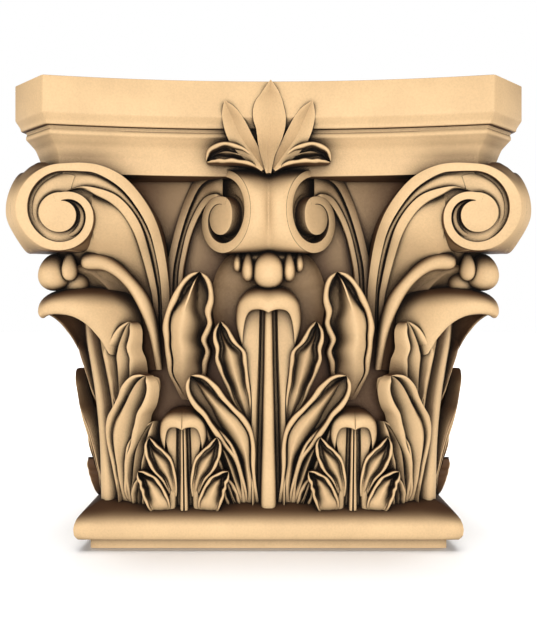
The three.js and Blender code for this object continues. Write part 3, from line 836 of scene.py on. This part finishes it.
@dataclass(frozen=True)
class HornCore:
    """The stone behind a corner's two scrolls, with the plain web between their stalks.

    Attributes:
        scroll: The scroll on the front face.
        inside: Depth of the hidden back on the diagonal.
        crest: How far the band between the scrolls rises at its top.
        set_back: How far the core falls back on the side of the stalk.
        bend: Where along the face the web meets the scroll.
        web: Rows of (height, along, depth, depth by the scroll, depth on the diagonal).
    """

    scroll: Spiral
    inside: float = 128.0
    crest: float = 5.0
    set_back: float = 4.0
    bend: float = -138.0
    web: tuple = ((190, -97.5, 139, 140, 140), (217, -99.5, 145, 150, 150), (232, -101.3, 151, 161, 160),
                  (246, -104, 159, 175, 172), (257, -106.4, 168, 187, 182), (267, -109.7, 177, 193, 186),
                  (277, -116, 184.5, 195.6, 188), (285, -124.4, 188, 195, 189), (295, -134, 188, 191, 189),
                  (306, -140, 188, 189, 188))

    def core(self) -> Points:
        """Work out the rings through the core of both scrolls."""
        angle = np.linspace(0.03, 0.97, 64) * math.pi
        height, lead, trail = self.scroll.reach(angle)
        x, depth, z = self.scroll.centre
        deep = self.scroll.deep
        level = z + height
        edge = self.scroll.at(spline(self.scroll.outer, angle / math.tau), angle, -deep)
        near = stack(x + trail - 0.4, depth - deep - self.set_back, level)
        far = edge + stack(-deep, 0.0, 0.0)
        inner = stack(x - lead * 0.45, depth - deep + self.scroll.bow * 0.08, level)
        lift = self.crest * (1 - ease(0.0, 0.8, angle))
        band = []
        for share in (0.25, 0.5, 0.75):
            p = far + (over_diagonal(far) - far) * share
            p[:, 2] += lift * math.sin(math.pi * share)
            band.append(p)
        back = stack(-self.inside, self.inside, level)
        side = [near, inner, far]
        return np.stack([*side, *band, *(over_diagonal(p) for p in side[::-1]), back], axis=1)

    def plate(self) -> Points:
        """Work out level rings through the web."""
        level, along, depth, by, corner = spline(self.web, np.linspace(0, 1, 40)).T
        right = stack(along, depth, level)
        beside = stack(np.full(len(level), self.bend), by, level)
        middle = (right + beside) / 2 - stack(0.0, 1.5, 0.0)
        diagonal = [stack(-corner, corner, level)]
        back = stack(-self.inside, self.inside, level)
        side = [right, middle, beside]
        return np.stack([*side, *diagonal, *(over_diagonal(p) for p in side[::-1]), back], axis=1)


@dataclass(frozen=True)
class Barrel:
    """The stone behind a face's two helices, drawn together as a waisted barrel at the middle.

    Attributes:
        scroll: The left helix.
        back: Depth of the hidden back.
        crease: Depth of the crease at the middle.
        swell: How far the barrel swells on each side of the crease.
    """

    scroll: Spiral
    back: float = 120.0
    crease: float = 2.2
    swell: float = 1.6

    def rings(self) -> Points:
        """Work out level rings through the barrel and both scrolls."""
        angle = np.linspace(0.035, 0.965, 64) * math.pi
        height, lead, trail = self.scroll.reach(angle)
        x, depth, z = self.scroll.centre
        level = z + height
        drop = self.scroll.deep * SLANT
        near = stack(x + lead * SLANT, depth + lead * SLANT, level)
        edge = stack(x + (lead - 2.5) * SLANT + drop, depth + (lead - 2.5) * SLANT - drop, level)
        far = stack(x - (trail - 1) * SLANT + drop, depth - (trail - 1) * SLANT - drop, level)
        ring = [stack(far[:, 0], self.back, level), far, edge]
        for share in (0.02, 0.1, 0.22, 0.36, 0.5, 0.64, 0.78, 0.89, 0.96, 1.0):
            bulge = self.swell * math.sin(math.pi * min(share, 0.8) / 0.8) ** 0.8
            dip = self.crease * math.exp(-(((1 - share) / 0.16) ** 2))
            ring.append(stack(near[:, 0] * (1 - share), near[:, 1] + bulge - dip - 0.2, level))
        other = [p * LEFT_RIGHT for p in ring[-2::-1]]
        return np.stack([*ring, *other], axis=1)


# ---------------------------------------------------------------- upper leaves and palmette


@dataclass(frozen=True)
class CornerFrond:
    """The leaf that curls out under a volute: two rolls that meet in a knuckle on the diagonal.

    Attributes:
        upper: Upper edge of the front roll, from its foot to its blunt end.
        lower: Lower edge of the same roll.
        dip: Rows of (depth, height) of the leaf's underside on the diagonal.
        hollow: How far the underside is hollowed.
        ridge: How far the vein in the underside stands out of the hollow.
    """

    upper: tuple = ((-89.8, 144, 150), (-91.3, 147.5, 177), (-94.4, 150.5, 195), (-101, 155, 213),
                    (-112, 160, 228), (-124.5, 164, 241), (-137, 169, 248), (-151, 174, 249))
    lower: tuple = ((-96.2, 144, 150), (-98.4, 148, 167.5), (-102.4, 152, 186), (-108, 157, 202),
                    (-116, 161, 217), (-126, 166, 228), (-137, 170.5, 233), (-152, 175, 231))
    dip: tuple = ((139, 142), (142, 165), (146, 186), (151, 203), (158, 217), (167, 227), (177, 231))
    hollow: float = 13.0
    ridge: float = 6.0

    def carve(self, block: Block) -> None:
        """Add the frond to a block."""
        roll = tube(self.upper, self.lower, 0.95)
        block.loft(roll)
        block.loft(roll, across_corner)
        t = np.linspace(0, 1, 40)
        edge = spline(self.upper, t) * 0.35 + spline(self.lower, t) * 0.65
        dip = spline(self.dip, t)
        middle = stack(-dip[:, 0], dip[:, 0], dip[:, 1])
        along = np.sin(math.pi * np.clip(t * 0.8 + 0.15, 0, 1))
        half = []
        for share in (0.0, 0.1, 0.2, 0.3, 0.4, 0.5, 0.6, 0.7, 0.85):
            p = edge + (middle - edge) * share
            sink = self.hollow * math.sin(math.pi * share**0.6) * along
            ridge = self.ridge * math.exp(-(((share - 0.5) / 0.12) ** 2)) * np.sin(math.pi * t)
            p[:, 1] += -sink + ridge
            p[:, 0] += (sink - ridge) * 0.4
            half.append(p)
        other = [over_diagonal(p) for p in half[::-1]]
        back = stack(-LEAF_BACK, LEAF_BACK, edge[:, 2])
        block.loft(np.stack([*half, middle, *other, back], axis=1))
        block.loft(ball((0, 173.5, 231), (9.5, 9.5, 15), taper=-0.2), on_diagonal)
        for side in (-1, 1):
            finger = ball((side * 11, 168.3, 235.5), (3.6, 4.8, 11.5), taper=-0.3)
            block.loft(finger, on_diagonal)
        block.loft(ball((0, 160, 222), (10, 8.5, 12)), on_diagonal)


@dataclass(frozen=True)
class FaceFrond:
    """The small leaf under the helices: a knuckle, two claws on each side and a hollow blade.

    Attributes:
        edge: Left edge of the blade, from its foot to the knuckle.
        dip: Rows of (depth, height) down the blade's middle.
        hollow: How far the blade is hollowed between its edge and its middle.
    """

    edge: tuple = ((-42, 146, 168), (-48.3, 152, 212), (-46, 154, 224), (-40.6, 156, 237), (-32, 158, 246),
                   (-14, 166, 248))
    dip: tuple = ((146, 168), (153, 208), (157, 220), (161, 232), (165, 241), (170, 246))
    hollow: float = 8.0

    def carve(self, block: Block) -> None:
        """Add the leaf to a block."""
        t = np.linspace(0, 1, 36)
        edge = spline(self.edge, t)
        dip = spline(self.dip, t)
        middle = stack(0.0, dip[:, 0], dip[:, 1])
        half = []
        for share in (0.0, 0.05, 0.14, 0.3, 0.5, 0.7, 0.86):
            p = edge + (middle - edge) * share
            p[:, 1] += 1.4 * math.exp(-((share / 0.06) ** 2)) - self.hollow * math.sin(math.pi * share**0.7)
            half.append(p)
        other = [p * LEFT_RIGHT for p in half[::-1]]
        ends = [stack(sign * edge[:, 0], LEAF_BACK, edge[:, 2]) for sign in (-1.0, 1.0)]
        block.loft(np.stack([*half, middle, *other, *ends], axis=1))
        block.loft(ball((0, 170, 233), (13, 10.5, 15.5), taper=-0.1))
        for side in (-1, 1):
            block.loft(ball((side * 16.6, 167.5, 236), (5.2, 9.5, 12.5), taper=-0.4))
            block.loft(ball((side * 25.0, 164, 240), (3.8, 7, 8.5), taper=-0.4))
        block.loft(ball((0, 158, 243), (28, 12, 7)))


@dataclass(frozen=True)
class Petal:
    """One petal of the palmette, with a ridge from its base to its tip.

    Attributes:
        path: Ridge's control points from base to tip.
        halves: Half widths from base to tip.
        rise: How far the ridge stands over the edges.
        back: How far the edges reach back into the abacus.
    """

    path: tuple
    halves: tuple
    rise: float = 5.0
    back: float = 20.0

    def rings(self) -> Points:
        """Work out the rings of the petal."""
        t = np.linspace(0, 1, 40)
        spine, half = spline(self.path, t), spline(self.halves, t)
        across = sideways(spine, t)
        columns = []
        shares = (-1, -0.97, -0.8, -0.55, -0.3, -0.12, -0.04, 0, 0.04, 0.12, 0.3, 0.55, 0.8, 0.97, 1)
        for share in (shares[0], *shares, shares[-1]):
            columns.append(spine + across * (half * share)[:, None])
        for k, share in enumerate((None, *shares, None)):
            if share is None:
                columns[k][:, 1] -= self.back
            else:
                slope = (1 - abs(share)) ** 1.5
                edge = -1.2 if abs(share) == 1 else 0.0
                columns[k][:, 1] += self.rise * np.minimum(half / 8, 1) * (slope - 1) + edge
        return np.stack(columns, axis=1)


PALMETTE_PETALS = (
    Petal(path=((0, 189, 309), (-0.5, 192, 325), (1.5, 194.5, 345), (0.3, 195.5, 358), (1.5, 195, 370),
                (1.7, 194, 381)),
          halves=(2, 5.5, 10.5, 13.2, 12.2, 7.5, 0.3), rise=6.5),
    Petal(path=((-4, 188, 312), (-12, 191, 323), (-21.7, 193, 336.5), (-28.8, 194, 352), (-34.5, 193, 365)),
          halves=(2, 5, 8, 9.4, 9, 6.5, 0.3), rise=6.0),
)
PALMETTE_CUP = Lobe(
    path=((-3, 184, 312), (-10, 187, 318), (-21, 188.5, 323), (-32, 188.5, 325.5), (-42, 187, 324),
          (-49.5, 184, 318.5)),
    low=(2, 3.6, 5.5, 7, 8, 8.2, 6.5, 1.5),
    high=(2, 3.6, 5.5, 7.4, 8.6, 8.6, 6.5, 1.5),
    rim=3.8, roll=2.4, hollows=(4.0, 4.5), tongue=-2.0, ridge=0.2, thick=22, rows=36,
)


# ---------------------------------------------------------------- mouldings


def square_ring(side: Points, height: float) -> Points:
    """Turn the points (along, depth) of one side on to all four sides as one level ring."""
    ring = []
    for k in range(SIDES):
        c, s = math.cos(k * math.tau / SIDES), math.sin(k * math.tau / SIDES)
        x, y = side[:, 0], -side[:, 1]
        ring.append(stack(x * c - y * s, -(x * s + y * c), height))
    return np.vstack(ring)


@dataclass(frozen=True)
class Abacus:
    """The top slab, with hollow sides and cut-off horns.

    Attributes:
        half: From the axis to a horn's front corner.
        chamfer: |x| + |y| along the cut-off end of a horn.
        sag: Hollow at the middle of a side.
        arris: How far a horn's two corners are rubbed down.
        profile: Rows of (height, set back from the crown).
    """

    half: float = 205.3
    chamfer: float = 379.5
    sag: float = 17.8
    arris: float = 0.7
    profile: tuple = (
        (381.8, 3.0), (381.8, 0.8), (381.5, 0.2), (381.0, 0.0), (354.2, 0), (353.3, 0.1), (352.4, 0.6),
        (351.2, 1.4), (349.6, 2.4), (348.3, 3.2), (347.4, 3.6), (345.6, 4.0), (345.0, 4.6), (344.6, 7.6),
        (343.9, 8.0), (342.3, 8.2), (341.2, 7.7), (339.4, 7.6), (338.4, 8.0), (337.6, 8.9),
        (335.9, 10.4), (334.5, 11.6), (332.9, 13), (331.4, 14.2), (329.9, 15), (328.2, 15.7),
        (326.7, 16.3), (325.1, 16.9), (323.5, 17.5), (321.5, 18.1), (309.6, 18.4), (309.3, 19.0),
        (309.3, 24.0),
    )

    def carve(self, block: Block) -> None:
        """Add the slab to a block."""
        rings = []
        cut = self.arris
        for height, back in self.profile:
            half = self.half - back
            end = self.chamfer - math.sqrt(2) * back - half
            along = np.linspace(-end, end, 49)
            side = stack(along, half - self.sag * (1 - (along / end) ** 2))
            first, last = side[0].copy(), side[-1].copy()
            side[0] = first + np.array([cut, -cut * 0.2])
            side[-1] = last + np.array([-cut, -cut * 0.2])
            side = np.vstack([first + np.array([-cut, -cut]), side, last + np.array([cut, -cut])])
            rings.append(square_ring(side, height))
        block.loft(np.stack(rings))


@dataclass(frozen=True)
class BaseMoulding:
    """The square roll and fillet that sit on the pillar.

    Attributes:
        profile: Rows of (height, half width).
        arris: How far the square's corners are rubbed down.
    """

    profile: tuple = (
        (0, 140), (0, 149), (0.3, 150), (8.4, 150), (8.9, 150.6), (9.2, 156.4), (9.8, 158.4), (11.5, 160),
        (14, 161.2), (18.9, 161.7), (22.8, 161.1), (26.7, 159.6), (30.2, 157), (33.3, 153.4),
        (36.6, 148), (39.2, 142.4), (40.5, 136),
    )
    arris: float = 0.25

    def carve(self, block: Block) -> None:
        """Add the moulding to a block."""
        rings = []
        for height, half in self.profile:
            tip, start = half - self.arris, half - 1.2
            along = np.concatenate([[-tip], np.linspace(-start, start, 13), [tip]])
            depth = np.full(len(along), half)
            depth[0] = depth[-1] = tip
            rings.append(square_ring(stack(along, depth), height))
        block.loft(np.stack(rings))


@dataclass(frozen=True)
class Bell:
    """The plain core that the leaves stand on.

    Attributes:
        levels: Rows of (height, half width).
        corner: Radius of its corners.
    """

    levels: tuple = ((36, 129), (150, 129), (230, 130), (290, 137), (316, 146))
    corner: float = 37.0

    def carve(self, block: Block) -> None:
        """Add the bell to a block."""
        rings = []
        for height, half in spline(self.levels, np.linspace(0, 1, 24)):
            angle = np.linspace(0, math.pi / 2, 9)
            corner = stack(half - self.corner * (1 - np.sin(angle)), half - self.corner * (1 - np.cos(angle)))
            rings.append(square_ring(corner, height))
        block.loft(np.stack(rings))


# ---------------------------------------------------------------- finish


def linear(colour: str) -> tuple:
    """Turn an sRGB hex colour into the linear values that a shader takes."""
    parts = [int(colour[i : i + 2], 16) / 255 for i in (1, 3, 5)]
    return (*[c / 12.92 if c <= 0.04045 else ((c + 0.055) / 1.055) ** 2.4 for c in parts], 1.0)


def add_node(
    tree: bpy.types.NodeTree, kind: str, links: dict | None = None, **settings: object
) -> bpy.types.Node:
    """Add a node with its settings and the links and values of its inputs.

    Args:
        tree: Node tree that takes the node.
        kind: Blender's name for the type of node.
        links: For each input, by name or index, a socket to link or a value to set.
        **settings: Attributes of the node.

    Returns:
        The node.
    """
    node = tree.nodes.new(kind)
    for name, value in settings.items():
        setattr(node, name, value)
    for name, value in (links or {}).items():
        if isinstance(value, bpy.types.NodeSocket):
            tree.links.new(value, node.inputs[name])
        else:
            node.inputs[name].default_value = value
    return node


@dataclass(frozen=True)
class CarvedStone:
    """Fine-grained sandstone, carved with chisels and rubbed smooth, with shade painted into its colour.

    Shade is painted into the colour: what looks straight out from a face shows the pale stone, flanks
    and surfaces that face up are painted a darker tan shade, and hollows are painted nearly black by
    how enclosed they are. That is what makes the carving read from a distance.

    Attributes:
        crown: Bare stone.
        flank_shade_and_mottle: Painted shade on flanks; also the darker tone of the clouds and grain.
        deep: Painted shade in broad hollows and on surfaces that face up.
        groove: Near-black painted shade in the narrow grooves.
        roughness: Roughness of the rubbed stone.
        hollow_roughness: Roughness in the hollows.
        grain_mm: Size of the grain.
        cloud_mm: Size of the faint clouds in the stone.
        fine: Distance in mm that a groove is felt over for its painted shade, then the range of openness that
            it spans.
        middle: The same for the hollows of a lobe.
        broad: The same for the spaces behind the leaves.
        upward_shade: Range of the normal's upward part over which a surface that faces up takes painted
            shade.
        under: Heights in metres between which that painted shade stops, under the abacus's top.
        seam: Half the width in metres over which one face gives way to the next at a corner.
        square: How squarely the stone has to look out of its face to show without painted shade.
        clouds: Range of the clouds' pattern, then the most of the darker tone that they add.
        grains: The same for the grain.
        pit_mm: Depth of the grain's pits.
    """

    crown: str = "#FFD7A2"
    flank_shade_and_mottle: str = "#6B4A2E"
    deep: str = "#4A3120"
    groove: str = "#0D0703"
    roughness: float = 0.62
    hollow_roughness: float = 0.85
    grain_mm: float = 1.6  # real grain is 0.2 mm: drawn coarser so that it shows
    cloud_mm: float = 55.0
    fine: tuple = (4.0, 0.35, 0.95)
    middle: tuple = (16.0, 0.15, 0.96)
    broad: tuple = (70.0, 0.25, 1.0)
    upward_shade: tuple = (0.15, 0.9)
    under: tuple = (0.355, 0.375)
    seam: float = 0.03
    square: float = 0.72
    clouds: tuple = (0.35, 0.7, 0.12)
    grains: tuple = (0.3, 0.75, 0.08)
    pit_mm: float = 0.4

    def material(self, name: str) -> bpy.types.Material:
        """Build the finish's node tree.

        Args:
            name: Name of the material.

        Returns:
            The material.
        """
        material = bpy.data.materials.new(name)
        material.use_nodes = True
        tree = material.node_tree
        tree.nodes.clear()

        # Where the stone is, which way it looks, how open it lies, and its clouds and grain.
        place = add_node(tree, "ShaderNodeTexCoord").outputs["Object"]
        normal = add_node(tree, "ShaderNodeNewGeometry").outputs["Normal"]
        spot, look = (
            add_node(tree, "ShaderNodeSeparateXYZ", {0: vector}).outputs for vector in (place, normal)
        )
        # How enclosed each spot is, at three sizes, for the painted shade in hollows.
        open_fine, open_middle, open_broad = (
            add_node(tree, "ShaderNodeAmbientOcclusion", {"Distance": reach * MM}, samples=6).outputs["AO"]
            for reach, *_ in (self.fine, self.middle, self.broad)
        )
        cloud, grain = (
            add_node(tree, "ShaderNodeTexNoise", {
                "Vector": place, "Scale": 1000 / size_mm, "Detail": detail, "Roughness": 0.55,
            }).outputs["Fac"]
            for size_mm, detail in ((self.cloud_mm, 3), (self.grain_mm, 2))
        )

        # How squarely the surface looks out of the face of the bell that it is on: the less squarely, the
        # more painted shade.
        wide, far, look_wide, look_far = (
            add_node(tree, "ShaderNodeMath", {0: value}, operation="ABSOLUTE").outputs[0]
            for value in (spot[0], spot[1], look[0], look[1])
        )
        over = add_node(tree, "ShaderNodeMath", {0: wide, 1: far}, operation="SUBTRACT").outputs[0]
        side = add_node(tree, "ShaderNodeMapRange", {
            "Value": over, "From Min": -self.seam, "From Max": self.seam,
        }, interpolation_type="SMOOTHSTEP").outputs["Result"]
        facing = add_node(tree, "ShaderNodeMix", {0: side, 2: look_far, 3: look_wide}, data_type="FLOAT")

        # Each value eased over its range, into the share of a tone: painted shade, or real clouds and grain.
        faces_out_unshaded, below, shelf, fine, middle, broad, clouded, grained = (
            add_node(tree, "ShaderNodeMapRange", {
                "Value": value, "From Min": low, "From Max": high, "To Min": start, "To Max": end,
            }, interpolation_type="SMOOTHSTEP").outputs["Result"]
            for value, (low, high), start, end in (
                (facing.outputs[0], (0.0, self.square), 0.0, 1.0),
                (spot[2], self.under, 1.0, 0.0),
                (look[2], self.upward_shade, 0.0, 1.0),
                (open_fine, self.fine[1:], 0.0, 1.0),
                (open_middle, self.middle[1:], 0.0, 1.0),
                (open_broad, self.broad[1:], 0.0, 1.0),
                (cloud, self.clouds[:2], 0.0, self.clouds[2]),
                (grain, self.grains[:2], 0.0, self.grains[2]),
            )
        )
        # The first is painted shade on surfaces that face up, below the abacus's top; the second is how open
        # a spot is, and where it is not, grooves take near-black painted shade.
        upward_shade, rubbed = (
            add_node(tree, "ShaderNodeMath", {0: a, 1: b}, operation="MULTIPLY").outputs[0]
            for a, b in ((shelf, below), (fine, middle))
        )

        # Tones go over the painted flank shade one by one: each shows where its share is 1, or where it is 0.
        at_none, at_full = 6, 7  # the two colour inputs
        # Painted flank shade is the ground colour; the clouds and grain reuse it as real darker tone.
        stone = linear(self.flank_shade_and_mottle)
        for share, colour, slot in (
            (faces_out_unshaded, self.crown, at_full), (broad, self.deep, at_none), (upward_shade, self.deep, at_full),
            (clouded, self.flank_shade_and_mottle, at_full), (grained, self.flank_shade_and_mottle, at_full), (rubbed, self.groove, at_none),
        ):
            other = at_none + at_full - slot
            coat = add_node(tree, "ShaderNodeMix", {
                0: share, slot: linear(colour), other: stone}, data_type="RGBA")
            stone = coat.outputs[2]
        rough = add_node(tree, "ShaderNodeMapRange", {
            "Value": middle, "To Min": self.hollow_roughness, "To Max": self.roughness,
        }, interpolation_type="SMOOTHSTEP").outputs["Result"]
        bump = add_node(tree, "ShaderNodeBump", {
            "Height": grain, "Strength": 0.10, "Distance": self.pit_mm * MM})
        shader = add_node(tree, "ShaderNodeBsdfPrincipled", {
            "Base Color": stone, "Roughness": rough, "Normal": bump.outputs["Normal"], "IOR": 1.5,
            "Specular IOR Level": 0.2})
        add_node(tree, "ShaderNodeOutputMaterial", {"Surface": shader.outputs["BSDF"]})
        return material


@dataclass(frozen=True)
class PaleBoard:
    """Matt white board under and behind the object."""

    colour: str = "#FAFAFA"

    def material(self) -> bpy.types.Material:
        """Build the board's plain matt finish."""
        material = bpy.data.materials.new("pale_board")
        material.use_nodes = True
        shader = material.node_tree.nodes["Principled BSDF"]
        shader.inputs["Base Color"].default_value = linear(self.colour)
        shader.inputs["Roughness"].default_value = 0.9
        return material


# ---------------------------------------------------------------- the capital


@dataclass
class Capital:
    """The whole capital, as the pieces that show."""

    stone: CarvedStone = field(default_factory=CarvedStone)

    def build(self) -> list[bpy.types.Object]:
        """Build every piece and dress it in carved stone.

        Returns:
            The pieces, in the order they were built.
        """
        material = self.stone.material("carved_sandstone")
        return [part(material) for part in (
            self.abacus, self.base, self.bell, self.big_leaves, self.small_leaves, self.sheath_leaves,
            self.fronds, self.volutes, self.helices, self.palmettes)]

    def abacus(self, material: bpy.types.Material) -> bpy.types.Object:
        """Build the top slab."""
        block = Block("abacus", quarters=1, sharp=30)
        Abacus().carve(block)
        return block.build(material)

    def base(self, material: bpy.types.Material) -> bpy.types.Object:
        """Build the moulding that sits on the pillar."""
        block = Block("base_moulding", quarters=1, sharp=35)
        BaseMoulding().carve(block)
        return block.build(material)

    def bell(self, material: bpy.types.Material) -> bpy.types.Object:
        """Build the core."""
        block = Block("bell", quarters=1)
        Bell().carve(block)
        return block.build(material)

    def big_leaves(self, material: bpy.types.Material) -> bpy.types.Object:
        """Build the tall leaves in the middle of each face and on each corner."""
        block = Block("tall_leaves")
        BIG_LEAF.carve(block, on_face(), on_face(mirror=True))
        CORNER_LEAF.carve(block, RoundCorner(), RoundCorner(mirror=True))
        return block.build(material)

    def small_leaves(self, material: bpy.types.Material) -> bpy.types.Object:
        """Build the low leaves between the tall ones."""
        block = Block("low_leaves")
        for line in (-SMALL_LEAF_OFFSET, SMALL_LEAF_OFFSET):
            SMALL_LEAF.carve(block, on_face(line), on_face(line, mirror=True))
        return block.build(material)

    def sheath_leaves(self, material: bpy.types.Material) -> bpy.types.Object:
        """Build the leaves that the stalks grow from."""
        block = Block("sheath_leaves")
        block.both(SHEATH.rings(), on_face())
        return block.build(material)

    def fronds(self, material: bpy.types.Material) -> bpy.types.Object:
        """Build the upper leaves."""
        block = Block("upper_leaves")
        CornerFrond().carve(block)
        FaceFrond().carve(block)
        return block.build(material)

    def volutes(self, material: bpy.types.Material) -> bpy.types.Object:
        """Build the corner scrolls, their stalks and the horn behind them."""
        block = Block("volutes", sharp=32)
        for place in (on_face(), across_corner):
            for rings in (VOLUTE.rim(), VOLUTE.eye(), VOLUTE.floor(), VOLUTE_STALK.rings()):
                block.loft(rings, place)
        core = HornCore(VOLUTE)
        block.loft(core.core())
        block.loft(core.plate())
        return block.build(material)

    def helices(self, material: bpy.types.Material) -> bpy.types.Object:
        """Build the two inner scrolls of each face and the barrel between them."""
        block = Block("helices", sharp=32)
        for rings in (HELIX.rim(), HELIX.eye(), HELIX.floor(), HELIX_STALK.rings()):
            block.both(rings, on_face())
        block.loft(Barrel(HELIX).rings())
        return block.build(material)

    def palmettes(self, material: bpy.types.Material) -> bpy.types.Object:
        """Build the palmette in the middle of each side of the abacus."""
        block = Block("palmettes", sharp=50)
        block.loft(PALMETTE_PETALS[0].rings())
        block.both(PALMETTE_PETALS[1].rings(), on_face())
        block.both(PALMETTE_CUP.rings(), on_face())
        return block.build(material)


# ---------------------------------------------------------------- stage


@dataclass
class Studio:
    """Pale floor, soft front light and the camera."""

    camera_back: float = 781.3
    camera_height: float = 199.8
    lens: float = 43.4
    floor_half: float = 6000.0
    ambient: float = 0.22
    overhead: float = 3.3
    lamps: tuple = (("key", 0.0, 1.75, 0.24, 0.5, 22.0), ("left", 110.0, 2.0, 0.25, 1.0, 9.0),
                    ("right", -110.0, 2.0, 0.25, 1.0, 9.0), ("back", 180.0, 2.0, 0.3, 1.0, 28.0))
    board: bpy.types.Collection | None = None

    def build(self) -> None:
        """Set the floor, lights and camera."""
        self.floor()
        self.camera()
        self.lights()

    def floor(self) -> None:
        """Lay the pale floor under the object."""
        half = self.floor_half * MM
        low = CAD_BOX[0][2]
        mesh = bpy.data.meshes.new("floor")
        corners = [(-half, -half, low), (half, -half, low), (half, half, low), (-half, half, low)]
        mesh.from_pydata(corners, [], [(0, 1, 2, 3)])
        floor = bpy.data.objects.new("floor", mesh)
        bpy.context.scene.collection.objects.link(floor)
        floor.data.materials.append(PaleBoard().material())
        floor.visible_diffuse = False
        floor.visible_shadow = False
        self.board = bpy.data.collections.new("board")
        self.board.objects.link(floor)

    def camera(self) -> None:
        """Set the camera level with the middle of the capital."""
        camera = bpy.data.objects.new("camera", bpy.data.cameras.new("camera"))
        bpy.context.scene.collection.objects.link(camera)
        camera.location = (0, -self.camera_back * MM, self.camera_height * MM)
        camera.rotation_euler = (math.pi / 2, 0, 0)
        camera.data.lens = self.lens
        camera.data.sensor_width = 36
        camera.data.clip_start, camera.data.clip_end = 0.01, 50
        bpy.context.scene.camera = camera

    def lights(self) -> None:
        """Hang a broad soft light by the camera, weaker ones at the sides and pale light all round."""
        world = bpy.data.worlds.new("room")
        world.use_nodes = True
        tree = world.node_tree
        seen = add_node(tree, "ShaderNodeLightPath").outputs["Is Camera Ray"]
        glow = add_node(tree, "ShaderNodeMapRange", {"Value": seen, "To Min": self.ambient, "To Max": 1.0})
        tree.links.new(glow.outputs["Result"], tree.nodes["Background"].inputs["Strength"])
        tree.nodes["Background"].inputs["Color"].default_value = (1, 1, 1, 1)
        bpy.context.scene.world = world
        bpy.context.scene.view_settings.view_transform = "Standard"
        for name, azimuth, distance, height, size, power in self.lamps:
            lamp = bpy.data.lights.new(name, "AREA")
            lamp.size, lamp.energy = size, power
            light = bpy.data.objects.new(name, lamp)
            bpy.context.scene.collection.objects.link(light)
            turn = math.radians(azimuth)
            light.location = (-distance * math.sin(turn), -distance * math.cos(turn), height)
            aim = Vector((0, 0, 0.2)) - light.location
            light.rotation_euler = aim.to_track_quat("-Z", "Y").to_euler()
        sun = bpy.data.lights.new("overhead", "SUN")
        sun.energy, sun.angle = self.overhead, math.radians(50)
        light = bpy.data.objects.new("overhead", sun)
        bpy.context.scene.collection.objects.link(light)
        light.light_linking.receiver_collection = self.board


def main() -> None:
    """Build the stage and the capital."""
    logging.basicConfig(level=logging.INFO, format="%(name)s: %(message)s")
    Studio().build()
    pieces = Capital().build()
    bpy.context.view_layer.update()


if __name__ == "__main__":
    main()
